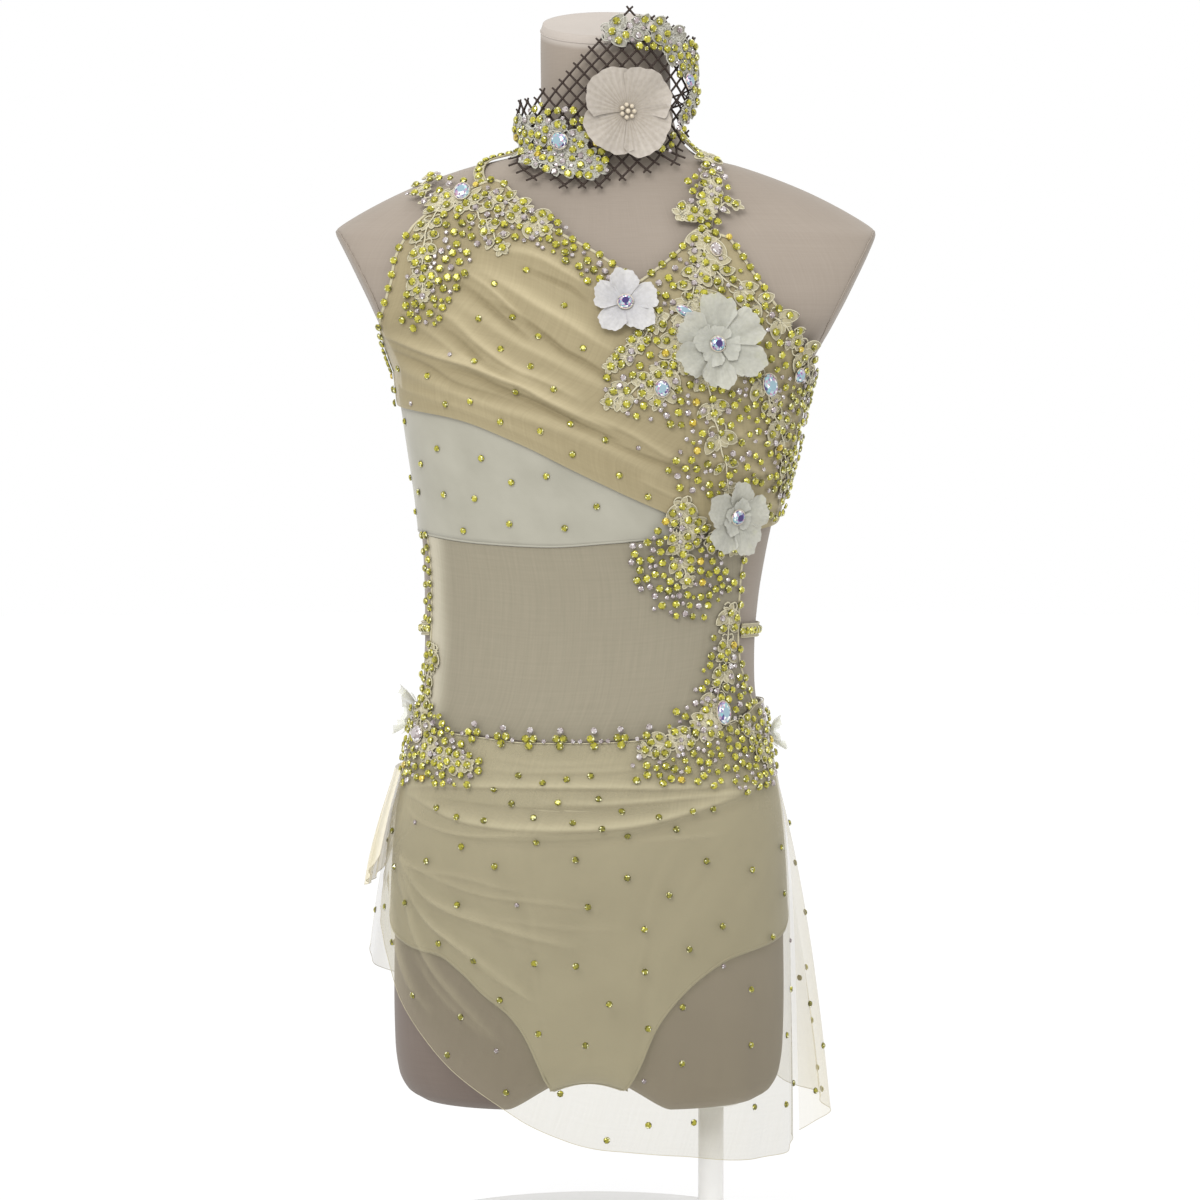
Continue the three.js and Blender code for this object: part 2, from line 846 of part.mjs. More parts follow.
function waves(rows, turn, height, top, length) {
  const grown = smoothstep(0, length, top - height);
  return rows.reduce((sum, wave) => {
    return sum + wave.depth * grown * Math.exp(-(((turn - wave.turn) / wave.wide) ** 2));
  }, 0);
}

function hung(spread, turn, height, top) {
  return follow(spread, "turn", "out", turn) * Math.max(0, top - height);
}

function skirtFrontGeometry() {
  const waist = (turn) => waistAt(turn, 0.6);
  return ruled(FRONT_HEM, waist, shares(28), shares(14), (turn, height, side) => {
    const fold = swag(turn, height) + waves(FRONT_WAVES, turn, height, 230, 140);
    const out = hung(FRONT_SPREAD, turn, height, SKIRT_HUNG) + fold;
    return hang(turn, height, OVER + side * MESH, out);
  });
}

function skirtBackGeometry() {
  const hem = shifted(BACK_HEM, 0.6, 0);
  const waist = (turn) => waistAt(turn, 0.6);
  return ruled(hem, waist, shares(28), shares(6), (turn, height, side) => {
    const fold = waves(BACK_WAVES, turn, height, 320, 200);
    const out = hung(BACK_SPREAD, turn, height, SKIRT_HUNG) + fold;
    return hang(turn, height, OVER + side * MESH, out);
  });
}

// The swag's short end, which falls over the left hip.
function tailGeometry() {
  const top = 312;
  const out = 0.11;
  return ruled(TAIL_HEM, () => top, shares(10), shares(5), (turn, height, side) => {
    const fold = waves(TAIL_WAVES, turn, height, top, 70);
    return hang(turn, height, 2 * OVER + 0.2 + side * MESH, out * (top - height) + fold);
  });
}

// ---------------------------------------------------------------- lace, net, flowers, crystals

// How far the outermost plain cloth lies from the form at a place.
function outside(turn, height) {
  const bodice = smoothstep(442, 458, height);
  const skirt = 1 - smoothstep(1, 14, height - waistAt(turn, 0));
  const swagged = skirt * (swag(turn, height) + hung(FRONT_SPREAD, turn, height, SKIRT_HUNG));
  const gathered = bodice * (1 - smoothstep(28, 40, turn)) * 2.2;
  return SKIN + SHEET + (OVER - SKIN) * Math.max(bodice, skirt) + swagged + gathered;
}

function onCloth(gap, thick) {
  return (turn, height, side) => cloth(turn, height, outside(turn, height) + gap + side * thick);
}

function onRing(gap, thick) {
  return (turn, height, side) => ring(turn, height, gap + side * thick);
}

// A vine of paired leaves on a surface, as one slab: a narrow stem whose side edges carry leaves.
function vine(row, place) {
  const half = 1.4;
  const route = edge([
    { turn: row.turnA, height: row.heightA },
    { turn: row.turnB, height: row.heightB },
    { turn: row.turnC, height: row.heightC },
  ]);
  const points = [];
  const faces = [];
  const spot = (share, along, off) => {
    const here = route(share);
    const ahead = route(share + 0.02).sub(route(share - 0.02));
    const scale = stretch(here.x, here.y, place);
    const aim = new THREE.Vector2(ahead.x * scale.x, ahead.y * scale.y).normalize();
    const dx = aim.x * along - aim.y * off;
    const dy = aim.y * along + aim.x * off;
    return points.push([here.x + dx / scale.x, here.y + dy / scale.y]) - 1;
  };
  const steps = 2 * row.pairs;
  const stem = shares(steps).map((share) => [spot(share, 0, -half), spot(share, 0, half)]);
  for (let i = 0; i < steps; i += 1) {
    const [right, left] = stem[i];
    const [nextRight, nextLeft] = stem[i + 1];
    faces.push([right, nextRight, nextLeft, left]);
    if (i % 2) continue;
    const share = i / steps;
    const length = row.leaf * (1 - 0.12 * (i % 3));
    for (const [hand, from, to] of [
      [-1, right, nextRight],
      [1, nextLeft, left],
    ]) {
      const near = spot(share, 0.15 * length, hand * 0.62 * length);
      const far = spot(share, 0.75 * length, hand * 0.45 * length);
      const tip = spot(share, 0.72 * length, hand * 0.95 * length);
      const outer = hand < 0 ? [near, tip, far] : [far, tip, near];
      faces.push([from, outer[0], outer[2], to], outer);
    }
  }
  return slab({ points, faces }, place);
}

function laceGeometry(rows, piece, place) {
  return joined(rows.filter((row) => row.piece === piece).map((row) => vine(row, place)));
}

// Diamond net: a ring of four strips round each gap, kept where the gap's middle is in the outline.
function netGeometry() {
  const outline = new THREE.Shape(NET_OUTLINE.map((row) => new THREE.Vector2(row.turn, row.height)));
  const corners = outline.getPoints();
  const inside = (x, y) => {
    let within = false;
    corners.forEach((a, i) => {
      const b = corners[(i + 1) % corners.length];
      if (a.y > y !== b.y > y && x < a.x + ((b.x - a.x) * (y - a.y)) / (b.y - a.y)) within = !within;
    });
    return within;
  };
  const perDegree = (Math.PI * (NECK_RING.wide + NECK_RING.front)) / 360;
  // Gaps under the lace and the flower stay closed.
  const hidden = NECK_VINES.flatMap((row) =>
    ["A", "B", "C"].map((end) => [row["turn" + end], row["height" + end], 17]),
  );
  const flower = FLOWERS.find((row) => row.on === "ring");
  hidden.push([flower.turn, flower.height, 0.92 * flower.radius]);
  const covered = (x, y) =>
    hidden.some(([turn, height, near]) => Math.hypot(x - turn * perDegree, y - height) < near);
  const half = NET_PITCH / 2;
  const hole = half - NET_CORD / Math.SQRT2;
  const points = [];
  const known = new Map();
  const spot = (x, y) => {
    const label = x.toFixed(3) + "," + y.toFixed(3);
    if (!known.has(label)) known.set(label, points.push([x / perDegree, y]) - 1);
    return known.get(label);
  };
  const corner = [
    [1, 0],
    [0, 1],
    [-1, 0],
    [0, -1],
  ];
  const faces = [];
  const first = -24;
  const last = 24;
  for (let row = 0; row < 28; row += 1) {
    for (let column = first; column <= last; column += 1) {
      const x = column * NET_PITCH + (row % 2) * half;
      const y = 670 + row * half;
      if (!inside(x / perDegree, y)) continue;
      const outer = corner.map(([dx, dy]) => spot(x + dx * half, y + dy * half));
      if (covered(x, y)) {
        faces.push(outer);
        continue;
      }
      const inner = corner.map(([dx, dy]) => spot(x + dx * hole, y + dy * hole));
      for (let i = 0; i < 4; i += 1) {
        const next = (i + 1) % 4;
        faces.push([outer[i], outer[next], inner[next], inner[i]]);
      }
    }
  }
  return slab({ points, faces }, onRing(0, 1));
}

function standAt(row) {
  const place = row.on === "ring" ? onRing(ON_NET + SHEET, 1) : onCloth(LACE_GAP + SHEET, 1);
  const foot = place(row.turn, row.height, 0);
  const out = place(row.turn, row.height, 1).sub(foot).normalize();
  const centre = foot.addScaledVector(out, row.above);
  const right = new THREE.Vector3(0, 0, 1).cross(out).normalize();
  const up = out.clone().cross(right);
  return new THREE.Matrix4().makeBasis(right, up, out).setPosition(centre);
}

// A flower: one scalloped, cupped disc with a dip between its petals.
function flowerGeometry(row) {
  const around = row.petals * 4;
  const steps = [0.3, 0.68, 1];
  const points = [[0, 0]];
  for (const share of steps) {
    for (let i = 0; i < around; i += 1) points.push([share, (i / around) * 2 * Math.PI]);
  }
  const faces = [];
  const at = (step, i) => 1 + step * around + (i % around);
  for (let i = 0; i < around; i += 1) {
    faces.push([0, at(0, i), at(0, i + 1)]);
    for (let step = 0; step < steps.length - 1; step += 1) {
      faces.push([at(step, i), at(step + 1, i), at(step + 1, i + 1), at(step, i + 1)]);
    }
  }
  const stand = standAt(row);
  return slab({ points, faces }, (share, angle, side) => {
    const lobe = Math.abs(Math.cos((row.petals * angle) / 2)) ** 0.6;
    const radius = share * row.radius * (0.66 + 0.34 * lobe);
    const cup = row.radius * (0.2 * share * share - 0.07 * share ** 3 * (1 - lobe));
    const rise = cup + side * SHEET;
    const place = new THREE.Vector3(radius * Math.cos(angle), radius * Math.sin(angle), rise);
    return place.applyMatrix4(stand);
  });
}

// A faceted stone: a flat back and a smaller table.
function crystalGeometry(row) {
  const spin = THREE.MathUtils.degToRad(row.spin);
  const height = 3.2;
  const profile = [
    [0, 0],
    [0.5, 0],
    [0.28, height],
    [0, height],
  ].map(([radius, rise]) => new THREE.Vector2(radius, rise));
  const geometry = new THREE.LatheGeometry(profile, 8);
  geometry.rotateX(Math.PI / 2);
  geometry.scale(row.wide, row.long, 1);
  geometry.rotateZ(spin);
  return geometry.applyMatrix4(standAt(row));
}

// ---------------------------------------------------------------- the part

const part = new THREE.Group();

function add(name, geometry, colour, roughness = 0.8, metalness = 0) {
  const material = new THREE.MeshStandardMaterial({ color: colour, roughness, metalness });
  const mesh = new THREE.Mesh(geometry, material);
  mesh.name = name;
  part.add(mesh);
}

const poleTop = FORM_FOOT - COLLAR_HEIGHT - 2 * SEAM;
const poleLength = poleTop - BASE_HEIGHT - SEAM;
const collarFoot = FORM_FOOT - COLLAR_HEIGHT - SEAM;
add("dress_form", formGeometry(), COLOURS.linen);
add("stand_base", baseGeometry(), COLOURS.stand, 0.4);
add(
  "stand_pole",
  upright(POLE_RADIUS, poleLength, BASE_HEIGHT + SEAM, POLE_X, POLE_Y, 16),
  COLOURS.stand,
  0.35,
);
add(
  "stand_collar",
  upright(COLLAR_RADIUS, COLLAR_HEIGHT, collarFoot, POLE_X, POLE_Y, 20),
  COLOURS.stand,
  0.35,
);

add("midriff_mesh", midriffGeometry(), COLOURS.nude);
add("bandeau_front", bandGeometry(), COLOURS.white);
add("bust_drape", drapeGeometry(), COLOURS.cream);
add("bust_right", bustGeometry(), COLOURS.cream);
add("back_band", backBandGeometry(), COLOURS.white);

const strap = onForm(SKIN, SHEET);
const halterLeft = table("turn height", [
  [-60, 671],
  [-68, 682],
  [-80, 694],
  [-100, 705],
]);
const halterBack = table("turn height", [
  [-102, 705.5],
  [-140, 712],
  [-180, 714],
  [-220, 712],
  [-258, 705.5],
]);
const halterRight = table("turn height", [
  [100, 705],
  [84, 697],
  [57, 681],
  [52, 662],
  [46, 644],
]);
const waistStrap = table("turn height", [
  [68, 399],
  [110, 398],
  [180, 399],
  [250, 398],
  [286, 400],
]);
add("halter_left", ribbon(halterLeft, 7, 6, strap), COLOURS.cream);
add("halter_back", ribbon(halterBack, 7, 12, strap), COLOURS.cream);
add("halter_right", ribbon(halterRight, 6, 8, strap), COLOURS.cream);
add("waist_strap", ribbon(waistStrap, 9, 20, strap), COLOURS.cream);

add("briefs_front", briefs(BRIEFS_FRONT_HEM), COLOURS.cream);
add("briefs_back", briefs(BRIEFS_BACK_HEM), COLOURS.cream);
add("briefs_gusset", gussetGeometry(), COLOURS.cream);
add("skirt_front", skirtFrontGeometry(), COLOURS.cream);
add("skirt_back", skirtBackGeometry(), COLOURS.cream);
add("skirt_tail", tailGeometry(), COLOURS.cream);

for (const piece of new Set(VINES.map((row) => row.piece))) {
  add(piece, laceGeometry(VINES, piece, onCloth(LACE_GAP, SHEET)), COLOURS.lace);
}
add("neck_net", netGeometry(), COLOURS.net);
for (const piece of new Set(NECK_VINES.map((row) => row.piece))) {
  add(piece, laceGeometry(NECK_VINES, piece, onRing(ON_NET, SHEET)), COLOURS.lace);
}
const neckTie = table("turn height", [
  [-91, 706],
  [-130, 714],
  [-180, 722],
  [-230, 728],
  [-268, 733],
]);
add("neck_tie", ribbon(neckTie, 8, 14, onRing(0, 1)), COLOURS.net);

for (const row of FLOWERS) add(row.name, flowerGeometry(row), COLOURS.petal);
for (const row of CRYSTALS) add(row.name, crystalGeometry(row), COLOURS.crystal, 0.1);
for (const row of FLOWERS.slice(0, 3)) {
  const stone = { ...row, long: 9, wide: 9, spin: 0, above: row.above + SHEET + 0.5 };
  add(row.name.replace("flower", "centre"), crystalGeometry(stone), COLOURS.crystal, 0.1);
}

export default part;
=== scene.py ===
import math

import bpy
import numpy as np
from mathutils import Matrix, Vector


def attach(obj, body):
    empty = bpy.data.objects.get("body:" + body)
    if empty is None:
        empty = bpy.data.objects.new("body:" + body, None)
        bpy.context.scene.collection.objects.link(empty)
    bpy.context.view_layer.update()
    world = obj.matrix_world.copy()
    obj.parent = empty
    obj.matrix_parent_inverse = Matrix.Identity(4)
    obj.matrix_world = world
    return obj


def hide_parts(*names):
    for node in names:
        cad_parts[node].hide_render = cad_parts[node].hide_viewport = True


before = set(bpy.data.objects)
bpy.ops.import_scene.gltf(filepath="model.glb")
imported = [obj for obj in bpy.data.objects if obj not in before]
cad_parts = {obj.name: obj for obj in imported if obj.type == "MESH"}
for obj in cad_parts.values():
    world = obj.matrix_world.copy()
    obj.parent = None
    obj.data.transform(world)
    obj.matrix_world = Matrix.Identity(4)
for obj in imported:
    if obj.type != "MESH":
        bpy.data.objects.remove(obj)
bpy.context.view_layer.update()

# A lyrical dance dress on a limbless linen form, with a halter, a side-gathered skirt and a neckpiece.
# Every size below is in millimetres and becomes metres in build(). +Z is up and the front faces -Y.
# A place on the dress is a turn, in degrees from the front towards the right, and a height.
# A lift moves a place out from the surface that it is on.

MM = 0.001
chance = np.random.default_rng(41)

# ---------------------------------------------------------------- sizes

FORM_FOOT = 105
NECK_TILT = 0.32
ARCH_RISE = 20
ARCH_HALF = 50
GROOVE_DEPTH = 9
GROOVE_HALF = 38
GROOVE_TOP = 175

BASE_RADIUS = 150
BASE_HEIGHT = 8
POLE_RADIUS = 8
POLE_X = 72
POLE_Y = 4
COLLAR_RADIUS = 19
COLLAR_HEIGHT = 6
SEAM = 0.3

SKIN = 1.3  # from the form to the first layer of cloth
OVER = 4.1  # from the form to the layer over the first
LACE_GAP = 0.2
ON_NET = 2.8
SHEET = 1.2
JERSEY = 0.7  # thickness of stretch jersey
SKIRT_HUNG = 300
HIP_FRONT = 245
HIP_SIDE = 190
TAIL_TOP = 312
GUSSET_HALF = 24
GUSSET_FRONT = 50
GUSSET_LONG = 96
DEGREE = 2.2  # millimetres of cloth in one degree, about
GRID = 0.5  # degrees and millimetres between the points of a relief

STONE_LARGE = 5.1  # across, size SS20
STONE_MIDDLE = 4.3  # SS16
STONE_SMALL = 3.0  # SS12

PLATE_LOW = 560
PLATE_HALF = 138.5
PLATE_AT = 572
PLATE_SLOPE = 0.485
PLATE_OPEN = 0.07  # how far each plate turns towards the front
PLATE_ROUND = 2.5

NECK_X = 6
NECK_Y = -3
NECK_WIDE = 55
NECK_FRONT = 49
NECK_BACK = 46.5
NECK_FOOT = 705
NECK_LEAN = 60  # over how much height the neck comes to its full tilt
NECK_CLEAR = 4.6
NET_PITCH = 9.6
NET_CORD = 1.45


def table(columns, rows):
    """{column: array} of rows with named columns."""
    return dict(zip(columns.split(), np.array(rows, float).T))


SECTIONS = table("height wide front back square shift fore", [
    (773, 38.5, 39, 39, 2, 5, -7),
    (768, 39.8, 40.5, 40.5, 2, 5, -7),
    (730, 40.2, 41, 41, 2, 5.5, -5),
    (712, 42, 43, 42, 2, 6, -3),
    (700, 47, 45, 45, 2, 6.5, 0),
    (692, 57, 47, 49, 2, 6.5, 2),
    (685, 85, 49, 53, 2.05, 5.5, 3),
    (673, 119, 52, 59, 2.1, 5, 4),
    (660, 146, 56, 64, 2.2, 5, 4),
    (648, 166, 60, 67, 2.3, 5, 4),
    (640, 177, 63, 69, 2.4, 6, 4),
    (625, 181, 68, 72, 2.4, 6.5, 3),
    (608, 176, 73, 74, 2.4, 6.5, 2),
    (592, 162, 78, 75, 2.4, 6, 1),
    (578, 142, 82, 75.5, 2.4, 5.5, 0),
    (560, 130, 86, 75.5, 2.35, 4.5, 0),
    (541, 124, 88, 75, 2.3, 3, 0),
    (510, 118, 85, 72.5, 2.3, 2, 0),
    (479, 112, 79, 68.5, 2.3, 0.5, 0),
    (447, 107, 73.5, 63.5, 2.3, -1.5, 0),
    (416, 104, 69.5, 59.5, 2.3, -3.5, 0),
    (391, 103, 68, 58.5, 2.3, -4.5, 0),
    (366, 103.5, 69.5, 61, 2.3, -5, 0),
    (340, 107, 73, 67.5, 2.3, -5, 0),
    (310, 113, 77.5, 78, 2.3, -5, 0),
    (280, 118, 80.5, 87, 2.3, -5, 0),
    (245, 121, 81.5, 93, 2.35, -5, 0),
    (210, 122.3, 80, 92, 2.4, -5, 0),
    (170, 122.8, 77, 86, 2.4, -5, 0),
    (140, 122, 74.5, 80, 2.4, -5, 0),
    (122, 119.5, 71.5, 76, 2.4, -5, 0),
    (111, 114, 66, 70, 2.4, -5, 0),
    (105, 105, 57, 61, 2.4, -5, 0),
])
FORM_SHIFT = -5  # how far the hips' middle lies to the left

# Seams and edges, as (turn, height).
WAIST = [(-120, 352), (-90, 351), (-67, 339), (-48, 336), (-26, 333), (0, 333), (27, 335), (47, 339),
         (64, 345), (75, 353), (90, 354), (120, 352), (270, 351)]
NECKLINE_LEFT = [(-66, 655), (-60, 668), (-53, 670), (-39, 653), (-26, 640), (-4, 625), (14, 609)]
ARMHOLE_LEFT = [(-92, 540), (-91, 558), (-80, 571), (-70, 590), (-67, 607), (-67, 628), (-66, 655)]
DRAPE_HEM = [(-92, 540), (-70, 535), (-50, 528), (-32, 515), (-13, 500), (3, 489), (20, 478), (38, 467)]
BUST_SEAM = [(38, 467), (34, 500), (26, 550), (14, 609)]
NECKLINE_RIGHT = [(14.7, 609), (21, 615), (33, 628), (38, 637), (43, 641), (50, 636)]
ARMHOLE_RIGHT = [(92, 470), (92, 540), (88, 554), (78, 562), (68, 567), (60, 585), (55, 603), (50, 636)]
BUST_HEM = [(38.7, 462.6), (55, 461), (75, 464), (92, 470)]
BAND_HEM = [(-92, 461), (-71, 458), (-49, 454), (-21, 452), (3, 454), (26, 457), (38, 462)]
MESH_LEFT = [(-77, 346), (-74, 370), (-73, 400), (-72, 430), (-73, 457.6)]
MESH_RIGHT = [(75, 353.8), (69, 374), (67, 389), (66, 407), (64.6, 426), (63.4, 443), (65, 460.6)]
BACK_TOP = [(92.4, 538), (130, 516), (180, 508), (230, 516), (267.6, 538)]
BACK_FOOT = [(92.4, 472), (130, 470), (180, 470), (230, 470), (267.6, 463)]
FRONT_HEM = [(-88, 224), (-76, 200), (-68, 172), (-58, 149), (-48, 131), (-33, 113), (-22, 103), (-3, 91),
             (14, 87), (33, 84), (50, 79), (70, 77), (84, 82)]
BACK_HEM = [(84.6, 84), (98.6, 91), (114.6, 94), (130.6, 103), (150.6, 112), (180.6, 125), (210.6, 142),
            (240.6, 168), (271.2, 200)]
TAIL_HEM = [(-114, 262), (-104, 238), (-94, 236), (-84, 244), (-76, 260)]
BRIEFS_FRONT_HEM = [(-92, 222), (-66, 205), (-56, 202), (-49, 193), (-42, 180), (-33, 167), (-27, 152),
                    (-22, 128), (-20, 110), (0, 109), (19, 110), (22, 126), (28, 156), (36, 176), (44, 190),
                    (54, 201), (73, 209), (92, 222)]
BRIEFS_BACK_HEM = [(92.4, 222), (112, 206), (130, 184), (146, 158), (158, 128), (163, 110), (180, 109),
                   (197, 110), (202, 128), (214, 158), (230, 184), (248, 206), (267.6, 222)]
HALTER_LEFT = [(-60, 671), (-68, 682), (-80, 694), (-100, 705)]
HALTER_BACK = [(-102, 705.5), (-140, 712), (-180, 714), (-220, 712), (-258, 705.5)]
HALTER_RIGHT = [(100, 705), (84, 697), (57, 681), (52, 662), (46, 644)]
WAIST_STRAP = [(68, 399), (110, 398), (180, 399), (250, 398), (286, 400)]
NECK_TIE = [(-80, 706), (-130, 714), (-180, 722), (-230, 728), (-275, 735)]
NET_OUTLINE = [(-62, 692), (-50, 682), (-31, 674), (2, 675), (21, 681), (43, 688), (60, 703), (66, 718),
               (82, 734), (90, 746), (70, 760), (40, 770), (12, 771), (-6, 755), (-21, 739), (-48, 723),
               (-80, 719)]

# How far the skirt stands out for each millimetre that it hangs.
FRONT_SPREAD = [(-88, 0.06), (-60, 0.02), (40, 0.02), (84, 0)]
BACK_SPREAD = [(84, 0.02), (90, 0.07), (98, 0.11), (125, 0.13), (180, 0.09), (230, 0.09), (262, 0.12),
               (272, 0.1)]

# Folds: places along each, how far it stands out, its width above and its width below.
BUST_FOLDS = [
    ([(-50, 630), (-34, 625), (-20, 615), (-5, 603)], 2.6, 5, 2),
    ([(-38, 619), (-22, 609), (-16, 605), (-7, 596)], -1.4, 1, 2),
    ([(-52, 620), (-38, 604), (-27, 593), (-16, 584), (-3, 573), (6, 566)], 3.1, 6, 2.4),
    ([(-45, 598), (-34, 588), (-22, 575), (-16, 568), (-8, 562), (2, 553), (12, 544)], -1.9, 1, 2.8),
    ([(-56, 620), (-47, 608), (-39, 596), (-31, 584)], 2.4, 2.5, 1.4),
    ([(-56, 613), (-49, 603), (-43, 594), (-35, 582), (-28, 573)], -1.8, 0.9, 2.4),
    ([(-57, 604), (-44, 586), (-32, 572), (-18, 561), (-4, 550), (9, 541)], 2.0, 4, 3),
    ([(-61, 600), (-53, 588), (-45, 573), (-33, 558), (-20, 549), (-6, 538)], 2.9, 4, 1.8),
    ([(-58, 588), (-50, 574), (-43, 562), (-36, 555), (-24, 546)], -1.5, 1.1, 2.4),
    ([(-65, 596), (-58, 580), (-50, 567), (-40, 558)], 1.4, 2.5, 1.6),
    ([(-74, 584), (-64, 573), (-56, 566), (-47, 560), (-37, 552), (-29, 547), (-21, 540), (-9, 531),
      (6, 521)],
     3.6, 4.5, 1.5),
    ([(-56, 560), (-46, 555), (-37, 547), (-24, 538), (-14, 530), (-6, 524), (9, 514)], -2.2, 1.1, 3),
    ([(-76, 575), (-66, 566), (-60, 560), (-51, 549), (-37, 541), (-22, 533)], -1.4, 1.4, 3),
    ([(-80, 566), (-70, 560), (-57, 549), (-42, 538), (-24, 528), (-6, 517), (14, 503), (30, 490)],
     1.8, 5, 3.5),
    ([(-84, 554), (-66, 545), (-46, 533), (-30, 521), (-12, 507)], 0.8, 3, 2),
    ([(-4, 531), (12, 520), (26, 507), (37, 500)], 1.8, 3.5, 1.8),
    ([(2, 517), (10, 511), (24, 503), (37, 497)], -1.4, 1, 2.4),
    ([(6, 548), (16, 540), (26, 534)], 1.4, 3, 1.6),
    ([(16, 494), (26, 486), (35, 480)], 1.1, 2.4, 1.6),
    ([(40, 524), (50, 519), (62, 515), (76, 512)], 1.4, 3, 1.6),
    ([(40, 506), (54, 499), (68, 495), (82, 494)], 1.4, 3, 1.8),
    ([(38, 560), (50, 548), (64, 540), (80, 536)], 1.2, 3, 1.8),
    ([(42, 486), (56, 479), (70, 477), (84, 478)], 1.1, 3, 1.8),
]
SKIRT_FOLDS = [
    ([(-46, 318), (-34, 316), (-14, 316), (14, 317), (36, 322)], 1.2, 3, 1.2),
    ([(-42, 325), (-24, 321), (-4, 321), (22, 323)], 1.0, 2.5, 1.4),
    ([(-76, 303), (-66, 304), (-56, 306), (-24, 307), (7, 307), (36, 306), (54, 307), (64, 310), (76, 318)],
     3.0, 4, 1.3),
    ([(-68, 298), (-50, 296), (-34, 294), (-14, 293), (17, 293), (40, 295)], -1.6, 1, 2.6),
    ([(-22, 298), (1, 297), (17, 298), (36, 300), (53, 302), (66, 306), (78, 313)], 2.4, 2.6, 1.5),
    ([(-74, 300), (-63, 295), (-51, 287), (-37, 283), (-23, 282), (-4, 282), (17, 284), (30, 288), (44, 294),
      (58, 301), (74, 308)], 3.5, 4.5, 1.8),
    ([(-60, 279), (-54, 276), (-41, 273), (-23, 273), (-4, 274), (16, 277), (30, 282), (44, 288), (55, 293),
      (68, 300)], -1.7, 1.4, 3.2),
    ([(-72, 290), (-60, 281), (-46, 277), (-28, 278), (-8, 279)], 1.3, 2, 1.5),
    ([(-72, 262), (-66, 251), (-60, 240), (-51, 231), (-40, 225), (-23, 217), (-3, 210)], 2.7, 4, 2.2),
    ([(-66, 246), (-60, 234), (-51, 224), (-38, 215), (-20, 206)], -1.1, 1.4, 3.2),
    ([(-72, 260), (-67, 246), (-62, 232), (-56, 221), (-49, 212), (-33, 192), (-22, 178)], 2.4, 3.5, 2),
    ([(-74, 258), (-67, 237), (-63, 217), (-56, 194), (-43, 168), (-34, 152)], 2.2, 3.2, 2.4),
    ([(-78, 256), (-74, 230), (-70, 205), (-64, 182), (-56, 166)], 2.2, 2.6, 2.6),
    ([(-72, 258), (-60, 254), (-48, 252), (-36, 247), (-21, 242)], 1.3, 2.4, 1.4),
    ([(-72, 260), (-53, 248), (-38, 241), (-21, 238), (5, 233)], 1.6, 2.4, 1.4),
    ([(-58, 236), (-44, 231), (-28, 226), (-6, 222), (14, 222)], 1.0, 2.4, 1.6),
    ([(-60, 226), (-48, 208), (-34, 190), (-18, 176)], 1.2, 2.2, 1.6),
    ([(20, 276), (36, 276), (54, 278)], 0.9, 2.6, 2),
    ([(-64, 206), (-56, 184), (-46, 166), (-38, 154)], 1.2, 2.2, 1.8),
]
FRONT_WAVES = [(-20, 9, 3), (4, 8, 2.5), (30, 9, 3.5), (54, 7, 5), (70, 6, 5), (81, 3, 2)]
BACK_WAVES = [(96, 5, 5), (112, 6, 9), (130, 7, 8), (150, 7, 9), (170, 7, 8), (190, 7, 9), (210, 7, 8),
              (230, 7, 8), (250, 6, 7)]
TAIL_WAVES = [(-111, 1.6, 2), (-105, 1.8, 3.2), (-99, 1.6, 2.2), (-93, 1.8, 3.6), (-87, 1.5, 2.2),
              (-81, 1.6, 2.4)]

# Lace: each row is a vine of paired leaves through three places.
VINES = [
    ("lace_shoulder_left", [(-65, 660), (-50, 658), (-30, 640)], 4, 13),
    ("lace_shoulder_left", [(-65, 662), (-63, 634), (-60, 600)], 4, 12),
    ("lace_shoulder_left", [(-60, 658), (-51, 644), (-44, 628)], 2, 11),
    ("lace_shoulder_left", [(-64, 655), (-72, 664), (-77, 674)], 2, 9),
    ("lace_bust_right", [(44, 636), (33, 596), (20, 536)], 5, 15),
    ("lace_bust_right", [(40, 622), (60, 582), (84, 540)], 5, 15),
    ("lace_bust_right", [(36, 600), (56, 546), (80, 482)], 5, 15),
    ("lace_bust_right", [(32, 590), (40, 532), (50, 486)], 3, 15),
    ("lace_bust_right", [(32, 566), (18, 550), (2, 538)], 4, 12),
    ("lace_bust_right", [(22, 588), (10, 568), (2, 558)], 3, 9),
    ("lace_under_bust", [(34, 478), (36, 452), (42, 430)], 3, 12),
    ("lace_under_bust", [(37, 464), (48, 456), (58, 450)], 2, 12),
    ("lace_waist_right", [(61, 412), (60, 376), (50, 342)], 4, 12),
    ("lace_waist_right", [(51, 344), (42, 336), (24, 328)], 3, 12),
    ("lace_waist_right", [(50, 344), (66, 340), (74, 316)], 3, 12),
    ("lace_hip_left", [(-71, 386), (-74, 354), (-66, 326)], 4, 11),
    ("lace_hip_left", [(-67, 328), (-60, 322), (-48, 318)], 3, 11),
    ("lace_strap_right", [(60, 685), (53, 668), (47, 650)], 3, 10),
    ("lace_strap_right", [(38, 650), (48, 655), (57, 656)], 2, 9),
]
NECK_VINES = [
    ("lace_neck_low", [(-76, 707), (-48, 706), (-16, 694)], 5, 11),
    ("lace_neck_low", [(-64, 699), (-38, 691), (-8, 684)], 5, 11),
    ("lace_neck_low", [(-48, 687), (-28, 681), (-4, 680)], 4, 9),
    ("lace_neck_high", [(2, 762), (34, 764), (72, 750)], 5, 12),
    ("lace_neck_high", [(44, 754), (64, 742), (72, 734)], 3, 11),
    ("lace_neck_high", [(70, 746), (70, 728), (56, 712)], 3, 9),
]

